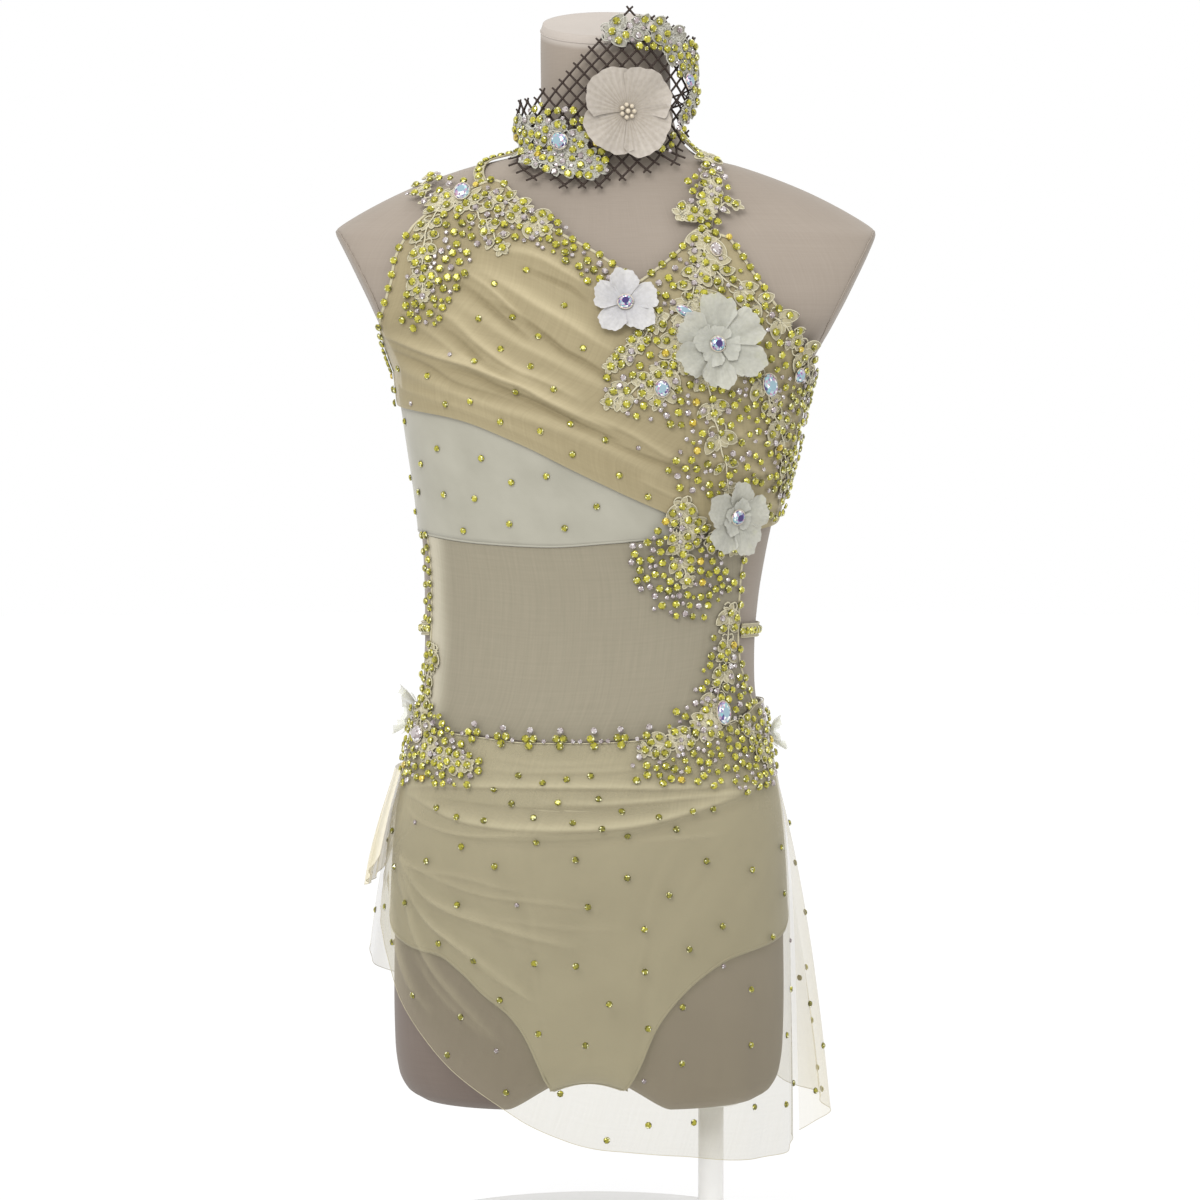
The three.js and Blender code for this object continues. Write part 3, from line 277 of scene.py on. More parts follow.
# Flowers: name, turn, height, height over the lace, radius, petals.
FLOWERS = [
    ("flower_neckline", 8, 595, 1.2, 19.5, 5),
    ("flower_bust", 40, 572, 1.2, 28, 6),
    ("flower_ribs", 54, 471, 1.2, 22.5, 5),
    ("flower_neck", 13, 714, 0.8, 26.5, 4),
    ("flower_hip_left", -91, 345, -5.5, 14, 5),
    ("flower_hip_right", 87, 331, -2.5, 9.5, 5),
]
# Large stones: name, turn, height, height over the lace, length, width, spin.
CRYSTALS = [
    ("crystal_shoulder", -62, 663, 0.8, 12, 10, 10),
    ("crystal_neckline", 45, 628, 0.6, 9, 6.5, 20),
    ("crystal_bust_inner", 31, 590, 0.8, 12, 6.5, 60),
    ("crystal_bust_low", 22, 546, 0.8, 10, 9, 0),
    ("crystal_bust_side", 57, 550, 0.8, 15, 10, 30),
    ("crystal_bust_edge", 67, 557, 0.8, 9, 8, 0),
    ("crystal_waist", 56, 349, 2, 14, 10, 0),
    ("crystal_hip", -71, 334, 0.8, 12, 10, 80),
    ("crystal_neck_low", -31, 697, 1.6, 12, 10, 70),
    ("crystal_neck_high", 60, 735, 0.6, 9, 8, 0),
    ("centre_neckline", 8, 595, 2.9, 9, 9, 0),
    ("centre_bust", 40, 572, 2.9, 9, 9, 0),
    ("centre_ribs", 54, 471, 2.9, 9, 9, 0),
]
ON_RING = {"flower_neck", "crystal_neck_low", "crystal_neck_high"}

# Where stones lie close together: part of the dress, what they are on, corners of the area.
CLUSTERS = [
    ("shoulder", "cloth", [(-80, 676), (-76, 663), (-66, 650), (-60, 628), (-39, 631), (-20, 618), (-3, 600),
                           (7, 616), (-4, 629), (-33, 656), (-52, 671)]),
    ("shoulder", "cloth", [(-66, 583), (-55, 585), (-51, 605), (-52, 630), (-63, 634), (-65, 606)]),
    ("shoulder", "cloth", [(40, 650), (44, 672), (58, 684), (62, 678), (56, 654), (50, 640), (42, 636)]),
    ("bust", "cloth", [(36, 634), (46, 640), (50, 623), (55, 605), (63, 585), (69, 563), (86, 548), (90, 500),
                       (86, 468), (54, 463), (41, 478), (24, 486), (22, 498), (30, 520), (12, 526), (-2, 545),
                       (0, 566), (14, 584), (18, 606), (24, 616)]),
    ("bust", "cloth", [(13, 452), (22, 462), (34, 480), (42, 470), (54, 446), (64, 428), (46, 402), (30, 410),
                       (18, 432)]),
    ("waist", "cloth", [(18, 332), (34, 345), (46, 366), (54, 398), (67, 394), (73, 358), (87, 350),
                        (85, 312), (74, 299), (57, 299), (40, 307), (18, 308)]),
    ("waist", "cloth", [(-78, 384), (-70, 372), (-66, 352), (-50, 336), (-40, 318), (-44, 304), (-60, 304),
                        (-76, 302), (-86, 318), (-86, 342), (-80, 360)]),
    ("neck", "net", [(-78, 702), (-68, 714), (-44, 722), (-20, 716), (-4, 700), (4, 688), (0, 675),
                     (-34, 675), (-56, 686)]),
    ("neck", "net", [(-2, 758), (12, 767), (37, 767), (59, 758), (76, 750), (74, 736), (62, 726), (50, 736),
                     (40, 748), (14, 754)]),
    ("neck", "net", [(30, 690), (44, 690), (60, 704), (66, 722), (60, 728), (46, 704)]),
]

# Where stones lie far apart.
DRAPE_AREA = [(-84, 544), (-66, 640), (0, 616), (36, 560), (37, 470), (4, 492), (-50, 530)]
BAND_AREA = [(-84, 458), (-84, 532), (-50, 524), (3, 485), (30, 470), (24, 460), (-30, 455)]
SWAG_AREA = [(-70, 296), (-40, 284), (0, 280), (40, 288), (70, 304), (40, 320), (-30, 322), (-60, 314)]
BACK_BAND_AREA = [(96, 474), (264, 474), (264, 520), (180, 502), (96, 520)]

# Turns of the trefoils of stones on the waist seam.
TREFOILS = (-48, -37, -26, -13, 2.5, 14.6, 27)


# ---------------------------------------------------------------- curves and surfaces


def unit(vectors):
    return vectors / np.linalg.norm(vectors, axis=-1, keepdims=True)


def lattice(columns, rows, closed=False):
    """Quads of a grid of points, columns across and rows up."""
    wide = columns if closed else columns + 1
    row, column = np.meshgrid(np.arange(rows), np.arange(columns), indexing="ij")
    a = (row * wide + column).ravel()
    b = (row * wide + (column + 1) % wide).ravel()
    return np.stack([a, b, b + wide, a + wide], 1)


def shares(count):
    return np.linspace(0, 1, count + 1)


class Curve:
    """A smooth curve through rows that never swings past them."""

    def __init__(self, x, y):
        order = np.argsort(x)
        self.x = np.asarray(x, float)[order]
        self.y = np.asarray(y, float)[order]
        rise = np.diff(self.y) / np.diff(self.x)
        product = rise[:-1] * rise[1:]
        total = rise[:-1] + rise[1:]
        inner = np.where(product > 0, 2 * product / np.where(product > 0, total, 1), 0)
        self.slope = np.concatenate([rise[:1], inner, rise[-1:]])

    def __call__(self, at):
        at = np.clip(at, self.x[0], self.x[-1])
        i = np.clip(np.searchsorted(self.x, at) - 1, 0, len(self.x) - 2)
        step = self.x[i + 1] - self.x[i]
        t = (at - self.x[i]) / step
        rest = 1 - t
        return (
            self.y[i] * (1 + 2 * t) * rest * rest
            + self.slope[i] * step * t * rest * rest
            + self.y[i + 1] * t * t * (3 - 2 * t)
            - self.slope[i + 1] * step * t * t * rest
        )


def through(rows):
    return Curve(*np.array(rows, float).T)


section = {name: Curve(SECTIONS["height"], column) for name, column in SECTIONS.items()}
waist_line = through(WAIST)
front_spread = through(FRONT_SPREAD)
back_spread = through(BACK_SPREAD)


def smoothstep(low, high, value):
    t = np.clip((value - low) / (high - low), 0, 1)
    return t * t * (3 - 2 * t)


def edge(rows):
    """A round curve through (turn, height) places, followed at even steps of its length."""
    places = np.array(rows, float)
    if len(places) == 2:
        return lambda t: places[0] + np.asarray(t)[..., None] * (places[1] - places[0])
    padded = np.vstack([places[:1], places, places[-1:]])
    t = np.linspace(0, 1, 41)[:-1, None]
    runs = []
    for before, here, ahead, after in zip(padded, padded[1:], padded[2:], padded[3:]):
        out, back = (ahead - before) / 2, (after - here) / 2
        bend = -3 * here + 3 * ahead - 2 * out - back
        runs.append((2 * here - 2 * ahead + out + back) * t**3 + bend * t**2 + out * t + here)
    path = np.vstack([*runs, places[-1:]])
    run = np.concatenate([[0], np.cumsum(np.linalg.norm(np.diff(path, axis=0), axis=1))])
    share = run / run[-1]
    return lambda t: np.stack([np.interp(t, share, path[:, 0]), np.interp(t, share, path[:, 1])], -1)


def between(bottom, top, left, right):
    """Spreads four edges over the panel between them."""
    low, high, first, last = (edge(rows) for rows in (bottom, top, left, right))

    def spot(u, v):
        a, b = np.asarray(u)[..., None], np.asarray(v)[..., None]
        ruled = low(u) * (1 - b) + high(u) * b
        sides = first(v) * (1 - a) + last(v) * a
        foot_corners = low(0.0) * (1 - a) + low(1.0) * a
        top_corners = high(0.0) * (1 - a) + high(1.0) * a
        here = ruled + sides - foot_corners * (1 - b) - top_corners * b
        return here[..., 0], here[..., 1]

    return spot


def moved(rows, turn, height):
    return [(a + turn, b + height) for a, b in rows]


def arch(x):
    return ARCH_RISE * np.maximum(0, 1 - (x / ARCH_HALF) ** 2) ** 1.5


def outline(turn, height):
    """The form's section at a height, before its arm plates cut it."""
    angle = np.radians(turn)
    sine, cosine = np.sin(angle), np.cos(angle)
    power = section["square"](height)
    depth = np.where(cosine > 0, section["front"](height), section["back"](height))
    across, ahead = np.abs(sine / section["wide"](height)), np.abs(cosine / depth)
    reach = (across**power + ahead**power) ** (-1 / power)
    return reach * sine, -reach * cosine


def plate_half(height, y):
    """How far out the flat plate of an arm cuts the form."""
    half = PLATE_HALF + PLATE_SLOPE * (np.maximum(height, PLATE_LOW) - PLATE_AT)
    return half - PLATE_OPEN * (section["back"](height) - y)


def figure(turn, height):
    turn, height = np.broadcast_arrays(np.asarray(turn, float), np.asarray(height, float))
    x, y = outline(turn, height)
    past = (np.abs(x) - plate_half(height, y)) / PLATE_ROUND
    x = x - np.sign(x) * PLATE_ROUND * np.logaddexp(0, past)
    low = np.clip((GROOVE_TOP - height) / (GROOVE_TOP - FORM_FOOT), 0, 1)
    groove = GROOVE_DEPTH * np.exp(-((x / GROOVE_HALF) ** 2)) * low**1.5
    y = y - np.sign(y) * np.minimum(groove, 0.4 * np.abs(y))
    lean = NECK_TILT * np.clip((height - NECK_FOOT) / NECK_LEAN, 0, 1)
    z = height + lean * y + arch(x) * low * low
    return np.stack([x + section["shift"](height), y + section["fore"](height), z], -1)


def cloth(turn, height, lift=0.0):
    turn, height = np.asarray(turn, float), np.asarray(height, float)
    across = figure(turn + 0.6, height) - figure(turn - 0.6, height)
    up = figure(turn, height + 1) - figure(turn, height - 1)
    out = np.cross(across, up)
    out /= np.linalg.norm(out, axis=-1, keepdims=True)
    return figure(turn, height) + out * np.asarray(lift, float)[..., None]


def ring(turn, height, lift=0.0):
    """The neckpiece's oval, which rests on the form where that is wider."""
    turn, height = np.broadcast_arrays(np.asarray(turn, float), np.asarray(height, float))
    angle = np.radians(turn)
    sine, cosine = np.sin(angle), np.cos(angle)
    depth = np.where(cosine > 0, NECK_FRONT, NECK_BACK)
    oval = 1 / np.hypot(sine / NECK_WIDE, cosine / depth)
    skin = figure(turn, height)
    body = np.hypot(skin[..., 0] - NECK_X, skin[..., 1] - NECK_Y) + NECK_CLEAR
    reach = np.maximum(oval, np.where(height < NECK_FOOT, body, 0)) + lift
    return np.stack([NECK_X + reach * sine, NECK_Y - reach * cosine, height], -1)


def hang(turn, height, lift, out):
    """Cloth that follows the hips and hangs free below them."""
    turn, height = np.broadcast_arrays(np.asarray(turn, float), np.asarray(height, float))
    angle = np.radians(turn)
    leaves = HIP_FRONT + (HIP_SIDE - HIP_FRONT) * np.sin(angle) ** 2
    place = cloth(turn, np.maximum(height, leaves), lift)
    place[..., 0] += out * np.sin(angle)
    place[..., 1] -= out * np.cos(angle)
    place[..., 2] = height
    return place


def folds(rows, turn, height):
    """How far folds stand out at a place. Each is soft above and steeper below."""
    flat = np.stack(np.broadcast_arrays(np.asarray(turn) * DEGREE, height), -1)
    total = np.zeros(flat.shape[:-1])
    for places, rise, above, below in rows:
        route = edge(places)(shares(20)) * [DEGREE, 1]
        nearest = np.full(total.shape, np.inf)
        share, side = np.zeros(total.shape), np.zeros(total.shape)
        for i, (here, ahead) in enumerate(zip(route, route[1:])):
            run = ahead - here
            along = np.clip((flat - here) @ run / (run @ run), 0, 1)
            off = flat - here - along[..., None] * run
            away = np.hypot(off[..., 0], off[..., 1])
            near = away < nearest
            nearest = np.where(near, away, nearest)
            share = np.where(near, (i + along) / 20, share)
            side = np.where(near, run[0] * off[..., 1] - run[1] * off[..., 0], side)
        wide = np.where(side > 0, above, below)
        total += rise * np.sin(math.pi * np.clip(share, 0, 1)) ** 0.6 * np.exp(-((nearest / wide) ** 2))
    return total


class Relief:
    """Folds worked out once on a fine grid of turns and heights, and read from it."""

    def __init__(self, rows, left, right, low, high):
        self.start = np.array([left, low], float)
        turn, height = np.meshgrid(np.arange(left, right, GRID), np.arange(low, high, GRID))
        self.values = folds(rows, turn, height)

    def __call__(self, turn, height):
        turn, height = np.broadcast_arrays(np.asarray(turn, float), np.asarray(height, float))
        rows, columns = self.values.shape
        x = np.clip((turn - self.start[0]) / GRID, 0, columns - 1.001)
        y = np.clip((height - self.start[1]) / GRID, 0, rows - 1.001)
        i, j = x.astype(int), y.astype(int)
        x, y = x - i, y - j
        low = self.values[j, i] * (1 - x) + self.values[j, i + 1] * x
        high = self.values[j + 1, i] * (1 - x) + self.values[j + 1, i + 1] * x
        return low * (1 - y) + high * y


bust_relief = Relief(BUST_FOLDS, -96, 96, 440, 680)
skirt_relief = Relief(SKIRT_FOLDS, -96, 96, 70, 345)


def waves(rows, turn, height, top, length):
    grown = smoothstep(0, length, top - height)
    return sum(depth * grown * np.exp(-(((turn - at) / wide) ** 2)) for at, wide, depth in rows)


def pinch(turn, height):
    """Small gathers that fan out from the stitches at the left hip."""
    dx, dy = (turn + 80) * DEGREE, height - 254
    away = np.hypot(dx, dy)
    fan = np.cos(15 * np.arctan2(dy, dx) + 0.03 * away)
    return 0.8 * fan * np.exp(-away / 30) * smoothstep(3, 12, away)


def skirt_front_out(turn, height):
    fold = skirt_relief(turn, height) + pinch(turn, height) + waves(FRONT_WAVES, turn, height, 230, 140)
    return front_spread(turn) * np.maximum(0, SKIRT_HUNG - height) + fold


def skirt_front_at(turn, height, lift=0.0):
    return hang(turn, height, OVER + 0.4 + lift, skirt_front_out(turn, height))


def skirt_back_at(turn, height, lift=0.0):
    out = back_spread(turn) * np.maximum(0, SKIRT_HUNG - height)
    ripple = 0.5 * np.sin(np.radians(turn) * 23) * smoothstep(0, 160, 320 - height)
    return hang(turn, height, OVER + 0.4 + lift, out + waves(BACK_WAVES, turn, height, 320, 200) + ripple)


def tail_at(turn, height, lift=0.0):
    out = 0.11 * (TAIL_TOP - height) + waves(TAIL_WAVES, turn, height, TAIL_TOP, 70)
    return hang(turn, height, 2 * OVER + 0.6 + lift, out)


def outside(turn, height):
    """How far the outermost plain cloth lies from the form."""
    bodice = smoothstep(442, 458, height)
    skirt = 1 - smoothstep(1, 14, height - waist_line(turn))
    layers = (OVER - SKIN) * np.maximum(bodice, skirt)
    return SKIN + 0.6 + layers + skirt * skirt_front_out(turn, height) + bodice * bust_relief(turn, height)


def lace_at(turn, height, lift=0.0):
    return cloth(turn, height, outside(turn, height) + LACE_GAP + lift)


def neck_lace_at(turn, height, lift=0.0):
    return ring(turn, height, ON_NET + lift)


def first_layer_at(turn, height, lift=0.0):
    return cloth(turn, height, SKIN + 0.3 + lift)


def second_layer_at(turn, height, lift=0.0):
    return cloth(turn, height, OVER + 0.3 + lift)


def briefs_at(turn, height, lift=0.0):
    return cloth(turn, height, SKIN + 1.1 + 1.8 * (1 - smoothstep(128, 165, height)) + 0.1 + lift)


drape_patch = between(DRAPE_HEM, NECKLINE_LEFT, ARMHOLE_LEFT, BUST_SEAM)


def folded_at(turn, height, lift=0.0):
    return cloth(turn, height, OVER + 0.4 + bust_relief(turn, height) + lift)


# ---------------------------------------------------------------- meshes


class Heap:
    """Collects many small shapes into one mesh, with a mark on each point."""

    def __init__(self):
        self.points = []
        self.faces = []
        self.marks = []
        self.count = 0

    def add(self, points, faces, mark=0.0):
        points = np.asarray(points, float).reshape(-1, 3)
        self.points.append(points)
        self.faces += [[i + self.count for i in face] for face in faces]
        self.marks.append(np.broadcast_to(mark, len(points)))
        self.count += len(points)


def build(name, points, faces, finish, slot, replaces=(), smooth=True, marks=None):
    """A named piece of the dress, from points in millimetres."""
    mesh = bpy.data.meshes.new(name)
    mesh.from_pydata((np.asarray(points, float).reshape(-1, 3) * MM).tolist(), [], faces)
    mesh.polygons.foreach_set("use_smooth", [smooth] * len(mesh.polygons))
    for label, (kind, domain, field, values) in (marks or {}).items():
        attribute = mesh.attributes.new(label, kind, domain)
        attribute.data.foreach_set(field, np.asarray(values, np.float32).ravel())
    mesh.materials.append(finish)
    mesh.validate()
    piece = bpy.data.objects.new(name, mesh)
    bpy.context.scene.collection.objects.link(piece)
    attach(piece, "root")
    if replaces:
        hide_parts(*replaces)
    return piece


def build_heap(name, heap, finish, slot, replaces=(), smooth=True):
    marks = {"mark": ("FLOAT", "POINT", "value", np.concatenate(heap.marks))}
    return build(name, np.vstack(heap.points), heap.faces, finish, slot, replaces, smooth, marks)


def panel(name, at, columns, rows, finish, slot, replaces=(), thick=0.0, fold=None):
    """A sheet of cloth over the unit square, as one surface or as a thin closed shell."""
    u, v = np.meshgrid(shares(columns), shares(rows))
    outer = at(u, v, thick)
    along = np.linalg.norm(np.diff(outer, axis=1), axis=-1)
    up = np.linalg.norm(np.diff(outer, axis=0), axis=-1)
    cut = np.zeros(outer.shape)
    cut[:, 1:, 0] = np.cumsum(along, axis=1)
    cut[1:, :, 1] = np.cumsum(up, axis=0)
    depth = np.zeros(u.shape) if fold is None else fold(u, v)
    faces = lattice(columns, rows)
    points = outer.reshape(-1, 3)
    cut = cut.reshape(-1, 3)
    depth = depth.ravel()
    if thick:
        count = len(points)
        wide = columns + 1
        first, last = np.arange(wide), rows * wide + np.arange(wide)
        left, right = np.arange(rows + 1) * wide, np.arange(rows + 1) * wide + columns
        rim = []
        for line in (first, right, last[::-1], left[::-1]):
            a, b = line[:-1], line[1:]
            rim.append(np.stack([a + count, b + count, b, a], 1))
        faces = np.vstack([faces, faces[:, ::-1] + count, *rim])
        points = np.vstack([points, at(u, v, 0.0).reshape(-1, 3)])
        cut, depth = np.vstack([cut, cut]), np.concatenate([depth, depth])
    marks = {
        "cut": ("FLOAT_VECTOR", "POINT", "vector", cut),
        "mark": ("FLOAT", "POINT", "value", depth),
    }
    return build(name, points, faces.tolist(), finish, slot, replaces, marks=marks)


def on_turns(patch, surface):
    """A surface of (turn, height) followed over a panel's own unit square."""

    def at(u, v, lift=0.0):
        turn, height = patch(u, v)
        return surface(turn, height, lift)

    return at


def ruled(hem, top):
    """Places between a hem and a line above it."""
    low = through(hem)
    first, last = hem[0][0], hem[-1][0]

    def patch(u, v):
        turn = first + (last - first) * u
        foot = low(turn)
        return turn, foot + (top(turn) - foot) * v

    return patch


def cord(heap, path, wide, thick=None, out=None, sides=6, closed=False, mark=1.0):
    """A round or flat cord along a path. out holds the direction that its thickness takes."""
    path = np.asarray(path, float)
    thick = wide if thick is None else thick
    if closed:
        ahead = np.roll(path, -1, 0) - np.roll(path, 1, 0)
    else:
        ahead = np.gradient(path, axis=0)
    ahead = unit(ahead)
    if out is None:
        spare = np.where(np.abs(ahead[:, 2:]) > 0.9, [[1.0, 0, 0]], [[0, 0, 1.0]])
        out = unit(np.cross(np.cross(ahead, spare), ahead))
    side = unit(np.cross(ahead, out))
    angle = np.arange(sides) * 2 * math.pi / sides
    ring_points = (
        path[:, None]
        + side[:, None] * (np.cos(angle) * wide / 2)[None, :, None]
        + out[:, None] * (np.sin(angle) * thick / 2)[None, :, None]
    )
    count = len(path)
    faces = lattice(sides, count - 1, closed=True)[:, ::-1].tolist()
    if closed:
        last = (count - 1) * sides
        faces += [[(i + 1) % sides, (i + 1) % sides + last, i + last, i][::-1] for i in range(sides)]
    else:
        faces += [list(range(sides)), [(count - 1) * sides + i for i in range(sides)][::-1]]
    heap.add(ring_points, faces, mark)


def seat(at, turn, height, lift=0.0):
    """(places, directions to the right, directions out) on a surface."""
    turn, height = np.asarray(turn, float), np.asarray(height, float)
    right = unit(at(turn + 0.5, height) - at(turn - 0.5, height))
    up = at(turn, height + 0.5) - at(turn, height - 0.5)
    out = unit(np.cross(right, up))
    return at(turn, height, lift), right, out


def trim(heap, rows, at, wide, thick, lift=0.3):
    """A flat binding along an edge."""
    here = edge(rows)(shares(60))
    place, _, out = seat(at, here[:, 0], here[:, 1], lift=lift)
    cord(heap, place, wide, thick, out, sides=8)


# ---------------------------------------------------------------- finishes


class Value:
    """A number that varies over a surface, in a material's nodes."""

    def __init__(self, finish, socket):
        self.finish = finish
        self.socket = socket

    def sum_up(self, operation, first, second):
        settings = {"operation": operation}
        return self.finish.node("Math", settings, {0: first, 1: second})

    def __add__(self, other):
        return self.sum_up("ADD", self, other)

    __radd__ = __add__

    def __sub__(self, other):
        return self.sum_up("SUBTRACT", self, other)

    def __rsub__(self, other):
        return self.sum_up("SUBTRACT", other, self)

    def __mul__(self, other):
        return self.sum_up("MULTIPLY", self, other)

    __rmul__ = __mul__


class Finish:
    """A material with one main shader."""

    def __init__(self, name, **constants):
        self.material = bpy.data.materials.new(name)
        self.material.use_nodes = True
        self.tree = self.material.node_tree
        self.shader = self.tree.nodes["Principled BSDF"]
        for label, value in constants.items():
            self.shader.inputs[label.replace("_", " ")].default_value = value

    def node(self, kind, settings=None, sockets=None, out=0):
        made = self.tree.nodes.new("ShaderNode" + kind)
        for label, value in (settings or {}).items():
            if label == "stops":
                self.set_stops(made.color_ramp.elements, value)
            else:
                setattr(made, label, value)
        for label, value in (sockets or {}).items():
            if isinstance(value, Value):
                self.tree.links.new(value.socket, made.inputs[label])
            else:
                made.inputs[label].default_value = value
        return Value(self, made.outputs[out])

    @staticmethod
    def set_stops(elements, stops):
        while len(elements) < len(stops):
            elements.new(0.5)
        for element, (position, colour) in zip(elements, stops):
            element.position = position
            element.color = (*colour, 1)

    def feed(self, label, value):
        self.tree.links.new(value.socket, self.shader.inputs[label])

    def mark(self, label="mark"):
        return self.node("Attribute", {"attribute_name": label}, out="Fac")

    def place(self):
        """Millimetres on the built cloth, along its width and up its height."""
        return self.node("Attribute", {"attribute_name": "cut"}, out="Vector")

    def object_place(self):
        return self.node("TexCoord", out="Object")

    def scaled(self, vector, factors):
        return self.node("VectorMath", {"operation": "MULTIPLY"}, {0: vector, 1: factors})

    def parts(self, vector):
        made = self.node("SeparateXYZ", {}, {0: vector})
        outputs = made.socket.node.outputs
        return [Value(self, outputs[i]) for i in range(3)]

    def noise(self, vector, scale, detail=2.0, rough=0.5):
        sockets = {"Vector": vector, "Scale": scale, "Detail": detail, "Roughness": rough}
        return self.node("TexNoise", {}, sockets)

    def rise(self, value, low, high):
        """0 below low, 1 above high and soft between."""
        return self.node("MapRange", {"interpolation_type": "SMOOTHSTEP"}, {0: value, 1: low, 2: high})

    def sine(self, value):
        return self.node("Math", {"operation": "SINE"}, {0: value})

    def blend(self, factor, low, high):
        settings = {"data_type": "RGBA"}
        sockets = {0: factor}
        for index, colour in ((6, low), (7, high)):
            sockets[index] = colour if isinstance(colour, Value) else (*colour, 1)
        return self.node("Mix", settings, sockets, out=2)

    def ramp(self, value, *stops):
        return self.node("ValToRGB", {"stops": stops}, {0: value})

    def bump(self, height, strength, distance):
        sockets = {"Strength": strength, "Distance": distance, "Height": height}
        self.feed("Normal", self.node("Bump", {}, sockets))


def colour(red, green, blue):
    """A colour as light amounts, from the 0 to 255 numbers of a paint chart."""
    return tuple(c / 3294.6 if c <= 10 else ((c / 255 + 0.055) / 1.055) ** 2.4 for c in (red, green, blue))


def linen_finish():
    """Tightly stretched linen: slubby threads both ways, with painted shade making it darker low down and to
    the left, and a painted highlight on the neck's cap.
    """
    finish = Finish("linen", Roughness=0.85, Sheen_Weight=0.12, Sheen_Roughness=0.5)
    place = finish.object_place()
    x, y, z = finish.parts(place)
    around = finish.node("Math", {"operation": "ARCTAN2"}, {0: x, 1: y})
    across = finish.node("CombineXYZ", {}, {0: around * 110.0, 1: z * 1000.0})
    weft = finish.noise(finish.scaled(across, (0.03, 1.5, 1)), 1.0, 3.0, 0.6)
    warp = finish.noise(finish.scaled(across, (1.5, 0.03, 1)), 1.0, 3.0, 0.6)
    threads = weft * 0.5 + warp * 0.5
    cloudy = finish.noise(place, 9.0, 3.0)
    tone = threads * 0.5 + cloudy * 0.5
    unshaded_linen = finish.ramp(tone, (0.3, colour(136, 125, 113)), (0.7, colour(152, 141, 129)))
    # Painted shade: the same linen darker, used low down and towards the left side, where less light falls.
    painted_low_shade = finish.ramp(tone, (0.3, colour(100, 88, 80)), (0.7, colour(114, 102, 93)))
    # Painted highlight: the same linen lighter, for the neck's cap, which faces the light from above.
    painted_cap_highlight = finish.ramp(tone, (0.3, colour(164, 155, 146)), (0.7, colour(180, 171, 162)))
    # Blends from the painted shade low down and on the left to the linen's own colour higher up.
    body = finish.blend(finish.rise(z + x * 0.6, 0.07, 0.42), painted_low_shade, unshaded_linen)
    on_cap = finish.rise(z - y * NECK_TILT, 0.766, 0.770)
    finish.feed("Base Color", finish.blend(on_cap, body, painted_cap_highlight))
    finish.bump(threads, 0.14, 0.0005)
    return finish.material


def paint_finish():
    """Satin white paint."""
    finish = Finish("stand_paint", Roughness=0.35, Coat_Weight=0.3, Coat_Roughness=0.2)
    cloudy = finish.noise(finish.object_place(), 60.0, 4.0)
    finish.feed("Base Color", finish.blend(cloudy, colour(228, 227, 224), colour(240, 239, 236)))
    finish.bump(cloudy, 0.05, 0.0002)
    return finish.material


def jersey_finish(name, dark, light, sheen=0.3):
    """Stretch jersey: fine ribs, and soft light patches where it is stretched."""
    finish = Finish(name, Roughness=0.6, Sheen_Weight=sheen, Sheen_Roughness=0.4)
    place = finish.place()
    x, y, _ = finish.parts(place)
    ribs = finish.sine(x * 7.0) * 0.5 + finish.sine(y * 9.0) * 0.25
    cloudy = finish.noise(place, 0.03, 3.0)
    tone = cloudy + ribs * 0.05
    finish.feed("Base Color", finish.ramp(tone, (0.3, dark), (0.68, light)))
    finish.bump(ribs, 0.02, 0.0002)
    return finish.material


def tulle_finish(name, dark, light, cover, fold_cover=0.0, sheen=0.25):
    """Sheer stretch mesh: how much it covers varies with its threads and gathers. Its mark also makes it
    lighter: partly denser gathered cloth, partly painted light and shade on its folds and edges.
    """
    finish = Finish(name, Roughness=0.75, Sheen_Weight=sheen, Sheen_Roughness=0.4)
    place = finish.place()
    threads = finish.noise(finish.scaled(place, (0.7, 0.03, 1)), 1.0, 2.0)
    cross = finish.noise(finish.scaled(place, (0.03, 0.7, 1)), 1.0, 2.0)
    tone = threads * 0.6 + cross * 0.4
    gathers_and_fold_shade = finish.mark()
    # Colour from the mark: painted highlight where it is high and painted shade where it is low, besides
    # denser cloth.
    finish.feed("Base Color", finish.blend(gathers_and_fold_shade * 0.7 + tone * 0.3, dark, light))
    thin = cover + (tone - 0.5) * 0.12 + gathers_and_fold_shade * fold_cover
    finish.feed("Alpha", thin)
    finish.bump(tone, 0.06, 0.0003)
    return finish.material


def lace_finish(name, fill, thread):
    """Corded lace: pale shiny cord round thinner filling."""
    finish = Finish(name, Roughness=0.55, Sheen_Weight=0.3, Sheen_Roughness=0.3)
    twist = finish.noise(finish.object_place(), 900.0, 2.0)
    on_cord = finish.mark()
    finish.feed("Base Color", finish.blend(on_cord * 0.8 + twist * 0.2, fill, thread))
    finish.bump(twist, 0.3, 0.0004)
    return finish.material


def petal_finish(name, base, tip, cover):
    """Satin organza with fine veins."""
    finish = Finish(name, Roughness=0.5, Sheen_Weight=0.5, Sheen_Roughness=0.35, Subsurface_Weight=0.15)
    finish.shader.inputs["Subsurface Radius"].default_value = (0.004, 0.004, 0.003)
    veins = finish.noise(finish.object_place(), 420.0, 3.0)
    finish.feed("Base Color", finish.blend(finish.mark() * 0.8 + veins * 0.2, base, tip))
    finish.feed("Alpha", cover + (veins - 0.5) * 0.3)
    finish.bump(veins, 0.15, 0.0004)
    return finish.material


def glass_finish(name, *stops):
    """Foil-backed cut glass: each facet's colour is a painted reflection, read from its glint mark: dark on
    most facets, painted highlights on a few.
    """
    finish = Finish(name, Roughness=0.08, Coat_Weight=0.6, Coat_Roughness=0.02, Metallic=0.35)
    glint = finish.mark("glint")
    # Painted reflections and highlights: the base colour of each facet stands in for what it reflects.
    tone = finish.ramp(glint, *stops)
    finish.feed("Base Color", tone)
    return finish.material


